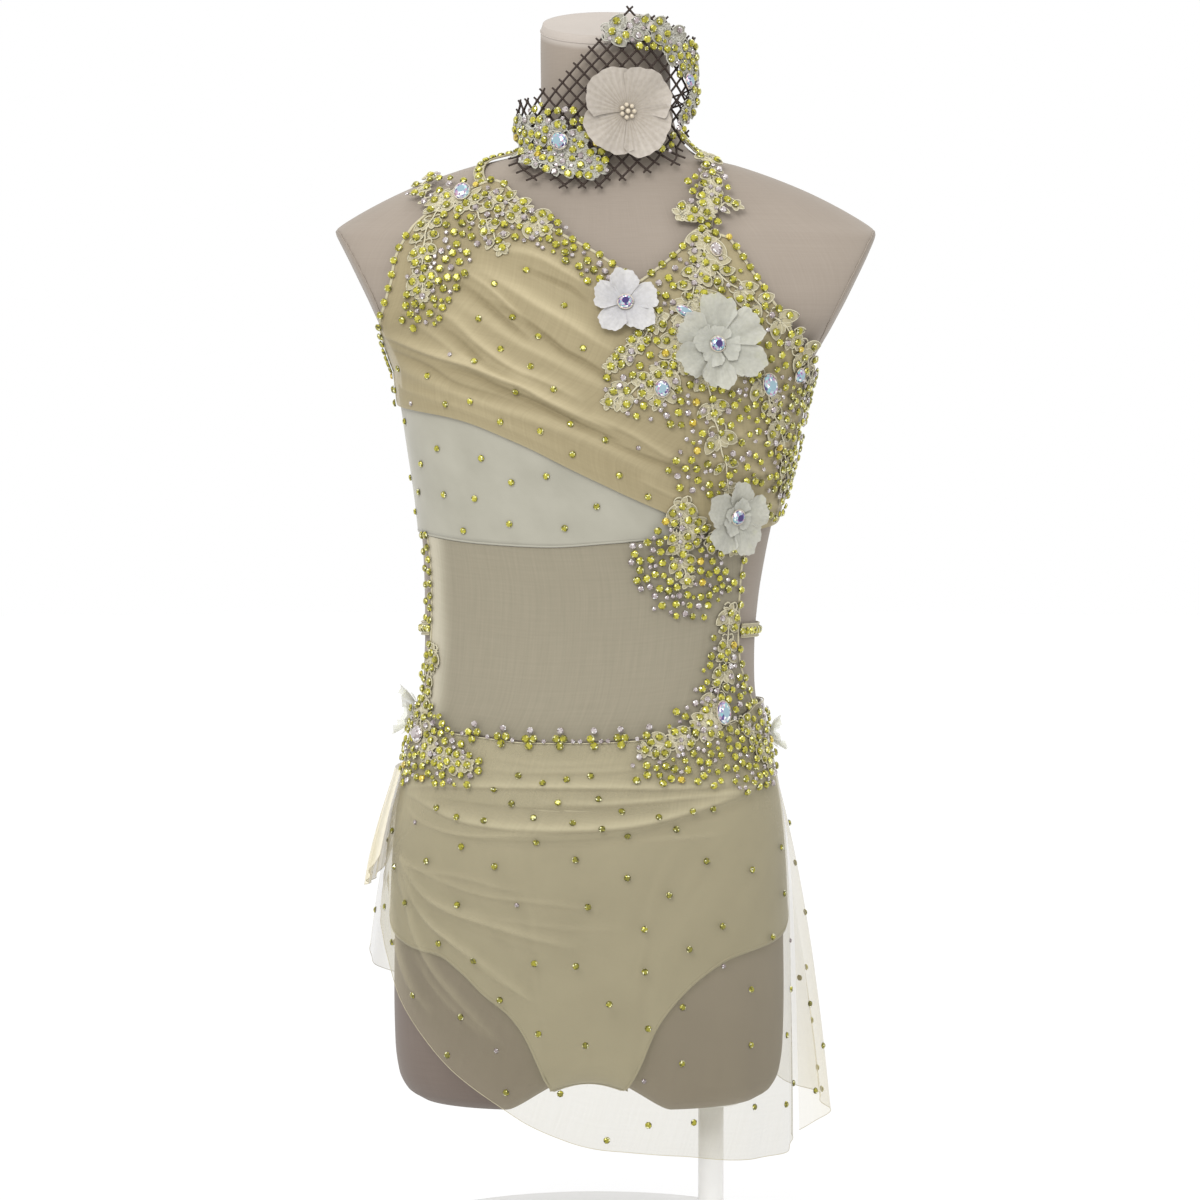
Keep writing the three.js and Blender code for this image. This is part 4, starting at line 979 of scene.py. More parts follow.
def cord_finish():
    """Dark brown twisted net cord."""
    finish = Finish("net_cord", Roughness=0.7)
    twist = finish.noise(finish.object_place(), 1200.0, 2.0)
    finish.feed("Base Color", finish.blend(twist, colour(30, 20, 15), colour(66, 50, 40)))
    finish.bump(twist, 0.3, 0.0004)
    return finish.material


def pearl_finish():
    finish = Finish("pearl", Roughness=0.25, Coat_Weight=0.5, Coat_Roughness=0.1, Sheen_Weight=0.2)
    cloudy = finish.noise(finish.object_place(), 700.0, 2.0)
    finish.feed("Base Color", finish.blend(cloudy, colour(178, 164, 140), colour(214, 203, 182)))
    return finish.material


LINEN = linen_finish()
PAINT = paint_finish()
WHITE = jersey_finish("white_jersey", colour(152, 149, 135), colour(163, 160, 146))
BRIEFS = jersey_finish("briefs_jersey", colour(149, 140, 114), colour(158, 149, 122))
NUDE = tulle_finish("nude_mesh", colour(152, 145, 122), colour(196, 189, 169), 0.62, 0.3, sheen=0.05)
SKIRT = tulle_finish("skirt_tulle", colour(146, 139, 110), colour(197, 187, 155), 0.27, 0.42, sheen=0.1)
BACK_SKIRT = tulle_finish(
    "skirt_back_cloth", colour(196, 184, 140), colour(238, 226, 182), 0.2, 0.42, sheen=0.1
)
TAIL = tulle_finish("tail_tulle", colour(222, 212, 182), colour(248, 240, 214), 0.46, 0.2, sheen=0.1)
DRAPE = tulle_finish("drape_tulle", colour(132, 119, 84), colour(186, 173, 139), 0.84, 0.14, sheen=0.1)
BUST = tulle_finish("bust_tulle", colour(138, 125, 88), colour(190, 178, 144), 0.9, 0.1, sheen=0.1)
ELASTIC = jersey_finish("binding_elastic", colour(176, 167, 138), colour(192, 184, 154), 0.1)
LACE = lace_finish("lace_thread", colour(160, 151, 118), colour(202, 195, 168))
NECK_LACE = lace_finish("neck_lace_thread", colour(138, 134, 120), colour(190, 188, 176))
NET = cord_finish()
PEARL = pearl_finish()
PETAL_WHITE = petal_finish("petal_white", colour(156, 155, 160), colour(197, 195, 193), 0.92)
PETAL_GREEN = petal_finish("petal_pale_green", colour(148, 149, 138), colour(187, 186, 175), 0.84)
PETAL_PALE = petal_finish("petal_pale", colour(196, 198, 184), colour(226, 226, 214), 0.62)
PETAL_CREAM = petal_finish("petal_cream", colour(138, 127, 111), colour(183, 175, 165), 0.97)
CITRINE = glass_finish(
    "citrine_glass",
    (0.0, colour(58, 54, 4)),
    (0.4, colour(150, 144, 22)),
    (0.8, colour(214, 206, 66)),
    (1.0, colour(255, 254, 205)),
)
GOLD = glass_finish(
    "gold_glass",
    (0.0, colour(104, 86, 6)),
    (0.5, colour(204, 176, 40)),
    (1.0, colour(255, 240, 150)),
)
CLEAR = glass_finish(
    "clear_glass",
    (0.0, colour(92, 81, 82)),
    (0.4, colour(160, 147, 146)),
    (0.75, colour(200, 193, 192)),
    (1.0, colour(255, 255, 255)),
)
AURORA = glass_finish(
    "aurora_glass",
    (0.0, colour(58, 40, 104)),
    (0.2, colour(110, 96, 156)),
    (0.4, colour(196, 150, 176)),
    (0.6, colour(120, 178, 186)),
    (0.8, colour(206, 216, 214)),
    (1.0, colour(255, 255, 255)),
)


# ---------------------------------------------------------------- form and stand


def make_form():
    around = 240
    crown_height = 773
    bands = ((FORM_FOOT, 122, 10), (122, PLATE_LOW, 80), (PLATE_LOW, 700, 70), (700, 768, 30),
             (768, crown_height, 4))
    steps = [np.linspace(low, high, count)[:-1] for low, high, count in bands]
    heights = np.concatenate([*steps, [crown_height]])
    turn, height = np.meshgrid(np.arange(around) * 360 / around, heights)
    side = figure(turn, height)
    foot = side[0]
    under = []
    for share in (0.2, 0.4, 0.6, 0.8):
        x = (foot[:, 0] - FORM_SHIFT) * share
        under.append(np.stack([FORM_SHIFT + x, foot[:, 1] * share, FORM_FOOT + arch(x)], -1))
    crown = side[-1].mean(0)
    top = [crown + (side[-1] - crown) * share for share in (0.97, 0.6, 0.3)]
    rings = np.concatenate([np.array(under), side, np.array(top)])
    centre = np.array([FORM_SHIFT, 0, FORM_FOOT + arch(0)])
    points = np.vstack([rings.reshape(-1, 3), centre[None], crown[None]])
    faces = lattice(around, len(rings) - 1, closed=True).tolist()
    last = (len(rings) - 1) * around
    for i in range(around):
        after = (i + 1) % around
        faces.append([after, i, len(points) - 2])
        faces.append([last + i, last + after, len(points) - 1])
    build("linen_form", points, faces, LINEN, "linen", ["dress_form"])


def make_seams():
    """Stitched cords where the form's linen is joined: round each arm plate and the neck's cap."""
    heap = Heap()
    turns = np.linspace(8, 172, 657)
    for hand in (-1, 1):
        ends = []
        for height in np.linspace(PLATE_LOW + 6, 652, 50):
            x, y = outline(hand * turns, np.full(turns.shape, height))
            cut = np.nonzero(np.abs(x) > plate_half(height, y))[0]
            if len(cut) > 8:
                ends.append((turns[cut[0]] - 0.5, turns[cut[-1]] + 0.5, height))
        ends = np.array(ends)
        loop = np.concatenate([ends[:, [0, 2]], ends[::-1, [1, 2]]])
        place, _, out = seat(cloth, hand * loop[:, 0], loop[:, 1], lift=0.1)
        cord(heap, place, 0.9, 0.7, out, sides=6, closed=True)
    turn = np.arange(120) * 3.0
    place, _, out = seat(cloth, turn, np.full(120, 768.5), lift=0.1)
    cord(heap, place, 0.9, 0.7, out, sides=6, closed=True)
    build_heap("linen_seams", heap, LINEN, "linen")


def lathe(profile, sides, x, y):
    angle = np.arange(sides) * 2 * math.pi / sides
    radius = np.array([p[0] for p in profile])[:, None]
    height = np.broadcast_to(np.array([p[1] for p in profile])[:, None], (len(profile), sides))
    points = np.stack([x + radius * np.cos(angle), y + radius * np.sin(angle), height], -1)
    faces = lattice(sides, len(profile) - 1, closed=True).tolist()
    last = (len(profile) - 1) * sides
    faces += [list(range(sides))[::-1], [last + i for i in range(sides)]]
    return points, faces


def make_stand():
    top = FORM_FOOT - SEAM
    rim = [(BASE_RADIUS - 2, 0), (BASE_RADIUS - 0.5, 0.4), (BASE_RADIUS, 1.6),
           (BASE_RADIUS, BASE_HEIGHT - 2.6), (BASE_RADIUS - 0.8, BASE_HEIGHT - 0.9),
           (BASE_RADIUS - 2.6, BASE_HEIGHT)]
    build("base_disc", *lathe(rim, 128, 0, 0), PAINT, "stand_paint", ["stand_base"])
    pole_top = FORM_FOOT - COLLAR_HEIGHT - 2 * SEAM
    pole = [(POLE_RADIUS, BASE_HEIGHT + SEAM), (POLE_RADIUS, 40), (POLE_RADIUS, 70), (POLE_RADIUS, pole_top)]
    build("base_pole", *lathe(pole, 48, POLE_X, POLE_Y), PAINT, "stand_paint", ["stand_pole"])
    foot = top - COLLAR_HEIGHT
    ring_profile = [(COLLAR_RADIUS - 1, foot), (COLLAR_RADIUS, foot + 1), (COLLAR_RADIUS, top - 0.8),
                    (COLLAR_RADIUS - 0.8, top)]
    build("pole_collar", *lathe(ring_profile, 64, POLE_X, POLE_Y), PAINT, "stand_paint", ["stand_collar"])


# ---------------------------------------------------------------- the cloth

# The flat sizes of the sheets, in metres, are guesses fitted to the built areas and not a real cut.
# The drape's gathers hold less cloth here than real ones, so its real cut is probably larger.


def make_bodice():
    hidden = moved(DRAPE_HEM, 0, 11)
    band = between(BAND_HEM, hidden, [BAND_HEM[0], hidden[0]], [BAND_HEM[-1], hidden[-1]])
    front = panel("bandeau", on_turns(band, first_layer_at), 110, 26, WHITE, "white_lycra",
                  ["bandeau_front"], JERSEY)

    # The mark is higher on fold ridges and lower in creases: partly more cloth, partly painted highlight on
    # the ridges and painted shade in the creases.
    def density_and_fold_shade(patch):
        return lambda u, v: np.clip(0.32 + bust_relief(*patch(u, v)) / 5.2, 0, 1)

    drape = panel("bust_drape_gathers", on_turns(drape_patch, folded_at), 170, 190, DRAPE, "cream_mesh",
                  ["bust_drape"], fold=density_and_fold_shade(drape_patch))

    tucked = [(BUST_HEM[0][0] - 2, BUST_HEM[0][1]), *moved(BUST_SEAM, -2, 0)[1:]]
    bust = between([tucked[0], *BUST_HEM[1:]], [tucked[-1], *NECKLINE_RIGHT[1:]], tucked, ARMHOLE_RIGHT)

    def under_drape(turn, height, lift=0.0):
        return folded_at(turn, height, lift - 0.5)

    cup = panel("bust_panel", on_turns(bust, under_drape), 80, 110, BUST, "cream_mesh", ["bust_right"],
                fold=density_and_fold_shade(bust))

    back = between(BACK_FOOT, BACK_TOP, [BACK_FOOT[0], BACK_TOP[0]], [BACK_FOOT[-1], BACK_TOP[-1]])
    band_back = panel("bandeau_back", on_turns(back, first_layer_at), 120, 20, WHITE, "white_lycra",
                      ["back_band"], JERSEY)

    top = [MESH_LEFT[-1], *moved(BAND_HEM, 0, -1)[1:], MESH_RIGHT[-1]]
    waist = [place for place in moved(WAIST, 0, 0.8) if -70 < place[0] < 70]
    middle = between([MESH_LEFT[0], *waist, MESH_RIGHT[0]], top, MESH_LEFT, MESH_RIGHT)
    # The mark makes the mesh lighter and denser towards its left edge, where it turns away: painted highlight
    # along that edge.
    mesh = panel("midriff_panel", on_turns(middle, first_layer_at), 90, 50, NUDE, "nude_mesh",
                 ["midriff_mesh"], fold=lambda u, v: 1 - smoothstep(-70, -60, middle(u, v)[0]))


def make_bindings():
    """Folded elastic along the open edges of the bodice and the mesh."""
    heap = Heap()
    for rows, at in (
        (NECKLINE_LEFT, second_layer_at),
        (ARMHOLE_LEFT, second_layer_at),
        (NECKLINE_RIGHT, second_layer_at),
        (ARMHOLE_RIGHT[1:], second_layer_at),
        (MESH_RIGHT, first_layer_at),
        (MESH_LEFT, first_layer_at),
    ):
        trim(heap, rows, at, 1.8, 0.8)
    for rows in (BACK_TOP, BACK_FOOT):
        trim(heap, rows, first_layer_at, 3.0, 1.3, lift=0.7)
    build_heap("bodice_bindings", heap, ELASTIC, "cream_mesh")
    seam = Heap()
    trim(seam, BAND_HEM, first_layer_at, 1.4, 0.8, lift=0.5)
    build_heap("bandeau_hem", seam, WHITE, "white_lycra")


def make_straps():
    for name, rows, wide, node in (
        ("halter_strap_left", HALTER_LEFT, 7, "halter_left"),
        ("halter_strap_back", HALTER_BACK, 7, "halter_back"),
        ("halter_strap_right", HALTER_RIGHT, 6, "halter_right"),
        ("waist_strap_band", WAIST_STRAP, 9, "waist_strap"),
    ):
        heap = Heap()
        here = edge(rows)(shares(90))
        place, _, out = seat(first_layer_at, here[:, 0], here[:, 1], lift=0.3)
        cord(heap, place, wide, 1.1, out, sides=12, mark=0.5)
        side = unit(np.cross(np.gradient(place, axis=0), out))
        for hand in (-1, 1):
            cord(heap, place + side * hand * (wide / 2 - 0.6) + out * 0.45, 1.0, 0.9, out, sides=5)
        build_heap(name, heap, ELASTIC, "cream_mesh", [node])


def under_waist(turn):
    return waist_line(turn) - 0.6


def make_briefs():
    front = panel("briefs_front_panel", on_turns(ruled(BRIEFS_FRONT_HEM, under_waist), briefs_at), 120, 60,
                  BRIEFS, "briefs_lycra", ["briefs_front"], JERSEY)
    back = panel("briefs_back_panel", on_turns(ruled(BRIEFS_BACK_HEM, under_waist), briefs_at), 120, 60,
                 BRIEFS, "briefs_lycra", ["briefs_back"], JERSEY)

    def under(u, v, lift=0.0):
        x = (u - 0.5) * 2 * GUSSET_HALF
        y = GUSSET_FRONT - GUSSET_LONG * v
        z = FORM_FOOT + arch(x) - 2 * SKIN - 0.2 - lift
        return np.stack([x + FORM_SHIFT, y + 0 * u, z], -1)

    gusset = panel("briefs_gusset_panel", lambda u, v, lift=0.0: under(1 - u, v, lift), 24, 24, BRIEFS,
                   "briefs_lycra", ["briefs_gusset"], JERSEY)
    heap = Heap()
    for rows in (BRIEFS_FRONT_HEM, BRIEFS_BACK_HEM):
        low = through(rows)
        turn = np.linspace(rows[0][0], rows[-1][0], 160)
        place, _, out = seat(briefs_at, turn, low(turn) + 1.5, lift=0.8)
        cord(heap, place, 1.4, 0.5, out, sides=8)
    build_heap("briefs_leg_elastic", heap, BRIEFS, "briefs_lycra")


def make_skirt():
    def front_fold(u, v):
        turn, height = ruled(FRONT_HEM, under_waist)(u, v)
        # The mark is higher on fold ridges and lower in creases: painted highlight on the ridges and painted
        # shade in the creases; near the waist and at the sides it stands for denser cloth.
        gathers_and_fold_shade = np.clip(skirt_relief(turn, height) / 4.5, -0.5, 1)
        top = smoothstep(236, 300, height) * 0.4
        side = 0.45 * (1 - smoothstep(-86, -60, turn)) + 0.25 * smoothstep(70, 84, turn)
        return np.clip(0.08 + gathers_and_fold_shade * 0.75 + top + side, 0, 1)

    front = panel("skirt_front_tulle", on_turns(ruled(FRONT_HEM, under_waist), skirt_front_at), 220, 200,
                  SKIRT, "cream_mesh", ["skirt_front"], fold=front_fold)

    def back_fold(u, v):
        turn, height = ruled(BACK_HEM, under_waist)(u, v)
        # The mark is higher on the crests of the hanging waves and near the waist: partly gathered cloth,
        # partly painted highlight on the crests.
        gathers_and_fold_shade = np.clip(waves(BACK_WAVES, turn, height, 320, 200) / 24, 0, 0.35)
        return gathers_and_fold_shade + 0.4 * smoothstep(250, 300, height)

    back = panel("skirt_back_tulle", on_turns(ruled(BACK_HEM, under_waist), skirt_back_at), 240, 80,
                 BACK_SKIRT, "cream_mesh", ["skirt_back"], fold=back_fold)

    tail_patch = ruled(TAIL_HEM, lambda turn: TAIL_TOP + 0 * turn)
    tail = panel("skirt_tail_tulle", on_turns(tail_patch, tail_at), 70, 50, TAIL, "cream_mesh",
                 ["skirt_tail"], fold=lambda u, v: 0.6 + 0.4 * np.sin(u * 34))


def make_hems():
    """The raw edges of the skirt, and the stitched seam at its waist."""
    heap = Heap()
    for rows, at in ((FRONT_HEM, skirt_front_at), (BACK_HEM, skirt_back_at), (TAIL_HEM, tail_at)):
        low = through(rows)
        turn = np.linspace(rows[0][0], rows[-1][0], 240)
        place, _, out = seat(at, turn, low(turn) + 0.2)
        cord(heap, place, 0.35, 0.3, out, sides=5)
    turn = np.linspace(-88, 268, 300)
    place, _, out = seat(second_layer_at, turn, under_waist(turn), lift=0.2)
    cord(heap, place, 0.8, 0.5, out, sides=6)
    build_heap("skirt_edges", heap, ELASTIC, "cream_mesh")


# ---------------------------------------------------------------- lace


def motif(at, turn, height, aim):
    """Places round a point of a surface, from millimetres along and across an aim."""
    right = at(turn + 0.5, height) - at(turn - 0.5, height)
    up = at(turn, height + 0.5) - at(turn, height - 0.5)
    wide, tall = np.linalg.norm(right), np.linalg.norm(up)
    cosine, sine = math.cos(aim), math.sin(aim)

    def place(along, off, rise):
        dx = cosine * along - sine * off
        dy = sine * along + cosine * off
        return at(turn + dx / wide, height + dy / tall, rise)

    return place


def leaf(heap, place, start, length, wide, swing, bend=0.0):
    """One lace leaf: a filled blade inside a cord, with a midrib."""
    cosine, sine = math.cos(swing), math.sin(swing)
    s, t = np.meshgrid(shares(7), np.linspace(-1, 1, 5))
    half = wide / 2 * np.sin(math.pi * s**0.85) ** 0.6
    along = start[0] + (s * cosine) * length - (half * t + bend * s * s) * sine
    off = start[1] + (s * sine) * length + (half * t + bend * s * s) * cosine
    upper = place(along, off, 0.45 + 0.35 * (1 - t * t) * np.sin(math.pi * s))
    lower = place(along, off, 0.0 * s)
    quads = lattice(7, 4)
    count = upper.shape[0] * upper.shape[1]
    blade = np.vstack([upper.reshape(-1, 3), lower.reshape(-1, 3)])
    heap.add(blade, np.vstack([quads, quads[:, ::-1] + count]).tolist(), 0.15)
    loop_s = np.concatenate([shares(9), shares(9)[::-1][1:-1]])
    loop_t = np.concatenate([np.ones(10), -np.ones(8)])
    loop_half = wide / 2 * np.sin(math.pi * loop_s**0.85) ** 0.6 * loop_t + bend * loop_s**2
    path = place(start[0] + loop_s * cosine * length - loop_half * sine,
                 start[1] + loop_s * sine * length + loop_half * cosine, 0.7 + 0 * loop_s)
    cord(heap, path, 0.8, sides=4, closed=True)


def tendril(heap, place, start, length, swing, hand):
    """A curled cord."""
    t = shares(9)
    turn = swing + hand * 3.4 * t**1.4
    step = length / 9
    x = start[0] + np.cumsum(np.cos(turn)) * step
    y = start[1] + np.cumsum(np.sin(turn)) * step
    cord(heap, place(x, y, 0.6 + 0 * t), 0.9, sides=4)


def floret(heap, at, turn, height, radius, spin=0.0):
    place = motif(at, turn, height, spin)
    for i in range(5):
        swing = i * 2 * math.pi / 5
        leaf(heap, place, (0.6 * math.cos(swing), 0.6 * math.sin(swing)), radius, radius * 0.72, swing)


def lace_vine(heap, rows, pairs, size, at, stones):
    """A stem with paired leaves, tendrils and florets. stones gathers where the large stones go."""
    route = edge(rows)
    steps = 2 * pairs
    t = shares(60)
    here = route(t)
    wobble = 1.1 * np.sin(t * 31)
    place, right, out = seat(at, here[:, 0], here[:, 1] + wobble, lift=0.6)
    cord(heap, place, 1.0, 0.9, out, sides=6)
    for i in range(steps):
        share = i / steps
        spot = route(share)
        ahead = route(min(1, share + 0.02)) - route(max(0, share - 0.02))
        wide = np.linalg.norm(at(spot[0] + 0.5, spot[1]) - at(spot[0] - 0.5, spot[1]))
        aim = math.atan2(ahead[1], ahead[0] * wide)
        blade = motif(at, spot[0], spot[1], aim)
        length = size * (1 - 0.12 * (i % 3)) * (1.0 if i % 2 == 0 else 0.72)
        for hand in (-1, 1):
            swing = hand * (0.92 if i % 2 == 0 else 1.25)
            leaf(heap, blade, (0.5, hand * 0.8), length, length * 0.6, swing, bend=-hand * 1.2)
            if i % 2 == 0:
                leaf(heap, blade, (2.5, hand * 1.2), length * 0.6, length * 0.4, hand * 0.3)
                tendril(heap, blade, (1.5, hand * 1.5), length * 0.9, hand * 1.9, hand)
            middle = length * 0.62
            stones.append((at, blade, middle * math.cos(swing), middle * math.sin(swing)))
    for share, radius in ((0.02, 5.5), (0.55, 5.0), (0.98, 4.6)):
        spot = route(share)
        floret(heap, at, spot[0], spot[1], radius, spin=7 * share)
        stones.append((at, motif(at, spot[0], spot[1], 0.0), 0.0, 0.0))


# ---------------------------------------------------------------- stones


def cut_stone(levels, sides):
    """Points and faces of a faceted stone: levels are (radius, height) from its back to its table."""
    points = []
    for i, (radius, height) in enumerate(levels):
        angle = (np.arange(sides) + 0.5 * max(0, i - 1)) * 2 * math.pi / sides
        points += [(radius * math.cos(a), radius * math.sin(a), height) for a in angle]
    faces = [list(range(sides))[::-1]]
    for level in range(len(levels) - 1):
        a, b = level * sides, (level + 1) * sides
        for i in range(sides):
            after = (i + 1) % sides
            if level == 0:
                faces.append([a + i, a + after, b + after, b + i])
            else:
                faces.append([a + i, a + after, b + i])
                faces.append([a + after, b + after, b + i])
    faces.append([(len(levels) - 1) * sides + i for i in range(sides)])
    return np.array(points), faces


SMALL_CUT = cut_stone([(0.45, 0.0), (0.5, 0.08), (0.41, 0.26), (0.25, 0.36)], 8)
LARGE_CUT = cut_stone([(0.44, 0.0), (0.5, 0.06), (0.46, 0.14), (0.38, 0.24), (0.24, 0.31)], 12)


class Tray:
    """Stones of one colour on one part of the dress."""

    def __init__(self):
        self.rows = []

    def set(self, place, right, out, size):
        self.rows.append((place, right, out, size))

    def build(self, name, finish, shade):
        points, faces = SMALL_CUT
        all_points, all_faces, glints = [], [], []
        for i, (place, right, out, size) in enumerate(self.rows):
            spin = chance.uniform(0, math.pi)
            up = np.cross(out, right)
            x = right * math.cos(spin) + up * math.sin(spin)
            y = np.cross(out, x)
            basis = np.stack([x, y, out])
            all_points.append(place + (points * size) @ basis)
            all_faces += [[k + i * len(points) for k in face] for face in faces]
            tone = shade + chance.uniform(-0.12, 0.12)
            glints += painted_facet_glints(8, 2, tone)
        marks = {"glint": ("FLOAT", "FACE", "value", glints)}
        build(name, np.vstack(all_points), all_faces, finish, "crystal", smooth=False, marks=marks)


def painted_facet_glints(sides, crowns, tone, table=0.5):
    """Painted reflections: how brightly each facet seems to shine, dark round the edge, with a few painted
    highlights above it.
    """
    back = [0.1] + [0.16] * sides
    crown = np.clip(chance.normal(0.42 + tone, 0.2, crowns * 2 * sides), 0.05, 0.9)
    crown[chance.integers(0, len(crown), 2 * crowns)] = 1.0
    crown[chance.integers(0, len(crown), 2 * crowns)] = 0.05
    return [*back, *crown.tolist(), float(np.clip(table + tone, 0, 1))]


class Setter:
    """Sets stones so that none touches another."""

    def __init__(self):
        self.taken = np.zeros((0, 3))
        self.reach = np.zeros(0)

    def free(self, place, gap):
        if not len(self.taken):
            return True
        return bool(np.all(np.linalg.norm(self.taken - place, axis=1) > self.reach + gap))

    def take(self, place, reach):
        self.taken = np.vstack([self.taken, place[None]])
        self.reach = np.append(self.reach, reach)


setter = Setter()
trays = {}


def set_stone(region, kind, place, right, out, size, spacing=0.3):
    """Sets one stone if there is room for it."""
    if not setter.free(place, size / 2 + spacing):
        return False
    setter.take(place, size / 2)
    trays.setdefault((region, kind), Tray()).set(place, right, out, size)
    return True


def pick_kind():
    draw = chance.random()
    if draw < 0.87:
        return "citrine", STONE_LARGE
    if draw < 0.9:
        return "gold", STONE_LARGE
    return "clear", STONE_MIDDLE


def set_on_lace(region, spots):
    """A stone on each leaf and floret."""
    for at, blade, along, off in spots:
        place = blade(np.array(along), np.array(off), np.array(1.1))
        ahead = blade(np.array(along + 0.6), np.array(off), np.array(1.1))
        side = blade(np.array(along), np.array(off + 0.6), np.array(1.1))
        right = unit(ahead - place)
        out = unit(np.cross(right, side - place))
        kind, size = pick_kind()
        set_stone(region, kind, place, right, out, size)


def scatter(region, at, spots, kinds, spacing, lift):
    """Stones at given places of a surface, as far apart as spacing says."""
    spots = np.array(spots)
    places, rights, outs = seat(at, spots[:, 0], spots[:, 1], lift=lift)
    for place, right, out in zip(places, rights, outs):
        kind, size = kinds()
        set_stone(region, kind, place, right, out, size, spacing)


def sparse_kind():
    return ("citrine", STONE_MIDDLE) if chance.random() < 0.93 else ("clear", STONE_SMALL)


def dense_kind():
    draw = chance.random()
    if draw < 0.72:
        return "citrine", STONE_LARGE
    if draw < 0.745:
        return "gold", STONE_LARGE
    if draw < 0.9:
        return "citrine", STONE_MIDDLE
    return "clear", STONE_MIDDLE


def fill_kind():
    return ("clear", STONE_SMALL) if chance.random() < 0.75 else ("citrine", STONE_SMALL)


def line_kind():
    return ("citrine", STONE_LARGE) if chance.random() < 0.95 else ("gold", STONE_MIDDLE)


def inside(polygon, x, y):
    """Which places lie in a polygon."""
    corners = np.array(polygon, float)
    after = np.roll(corners, -1, 0)
    rising = (corners[:, 1] > y[:, None]) != (after[:, 1] > y[:, None])
    drop = np.where(after[:, 1] == corners[:, 1], 1, after[:, 1] - corners[:, 1])
    cross = corners[:, 0] + (after[:, 0] - corners[:, 0]) * (y[:, None] - corners[:, 1]) / drop
    return (rising & (x[:, None] < cross)).sum(1) % 2 == 1


def within(polygon, count, feather=0.0):
    """Random places in a polygon, fewer of them near its edge where feather says how far that reaches."""
    corners = np.array(polygon, float)
    low, high = corners.min(0), corners.max(0)
    spots = chance.uniform(low, high, (count, 2))
    spots = spots[inside(polygon, spots[:, 0], spots[:, 1])]
    if not feather:
        return spots
    nearest = np.full(len(spots), np.inf)
    for here, ahead in zip(corners, np.roll(corners, -1, 0)):
        run = ahead - here
        along = np.clip((spots - here) @ run / (run @ run), 0, 1)
        nearest = np.minimum(nearest, np.linalg.norm(spots - here - along[:, None] * run, axis=1))
    patchy = 0.5 + 0.5 * np.sin(spots[:, 0] / 3.1 + 1) * np.sin(spots[:, 1] / 4.3)
    return spots[chance.random(len(spots)) < smoothstep(0, feather, nearest) * (0.6 + 0.4 * patchy)]


def along_edge(rows, spacing, at):
    """Places a fixed distance apart along an edge."""
    fine = edge(rows)(shares(300))
    path = at(fine[:, 0], fine[:, 1])
    run = np.concatenate([[0], np.cumsum(np.linalg.norm(np.diff(path, axis=0), axis=1))])
    count = max(2, int(run[-1] / spacing))
    share = np.linspace(0, run[-1], count)
    return np.stack([np.interp(share, run, fine[:, 0]), np.interp(share, run, fine[:, 1])], -1)


# ---------------------------------------------------------------- flowers and large stones


def stand_at(name, turn, height, above):
    """(centre, right, up, out) of what is sewn on at a place."""
    at = neck_lace_at if name in ON_RING else lace_at
    foot = at(np.array(turn), np.array(height), np.array(SHEET))
    out = unit(at(np.array(turn), np.array(height), np.array(SHEET + 1.0)) - foot)
    right = unit(np.cross([0, 0, 1.0], out))
    return foot + out * above, right, np.cross(out, right), out


def petal(heap, stand, angle, length, spread, rise, cup, lobe=0.22, fringe=1.0, veins=0.06):
    """One organza petal: a round lobe with a softly fringed, waving edge and fine veins."""
    centre, right, up, out = stand
    s, t = np.meshgrid(shares(16), np.linspace(-1, 1, 33))
    a, b, c = chance.uniform(0, 2 * math.pi, 3)
    swing = angle + spread * (0.9 + 0.1 * s) * t
    ragged = 0.04 * np.sin(4 * t + a) + 0.02 * np.sin(11 * t + b) + 0.012 * np.sin(25 * t + c)
    radius = length * s * (1 - lobe * np.abs(t) ** 3 * s + fringe * ragged * s**3)
    wave = 0.05 * np.sin(4.5 * t + b) * s**2 + 0.02 * np.sin(9 * t + c) * s**3
    lift = rise + length * (cup * s**1.6 + wave) + veins * np.cos(34 * t) * np.sin(math.pi * s)
    lift += 0.06 * length * t * np.sin(a) * s
    flat = (radius * np.cos(swing))[..., None] * right + (radius * np.sin(swing))[..., None] * up
    mark = (1 - 2 * veins) * s**0.7 + veins * (1 + np.cos(34 * t + 3 * s))
    heap.add(centre + flat + lift[..., None] * out, lattice(16, 32).tolist(), mark.ravel())


FLOWER_FINISH = {
    "flower_neckline": PETAL_WHITE,
    "flower_bust": PETAL_GREEN,
    "flower_ribs": PETAL_GREEN,
    "flower_neck": PETAL_CREAM,
    "flower_hip_left": PETAL_PALE,
    "flower_hip_right": PETAL_PALE,
}


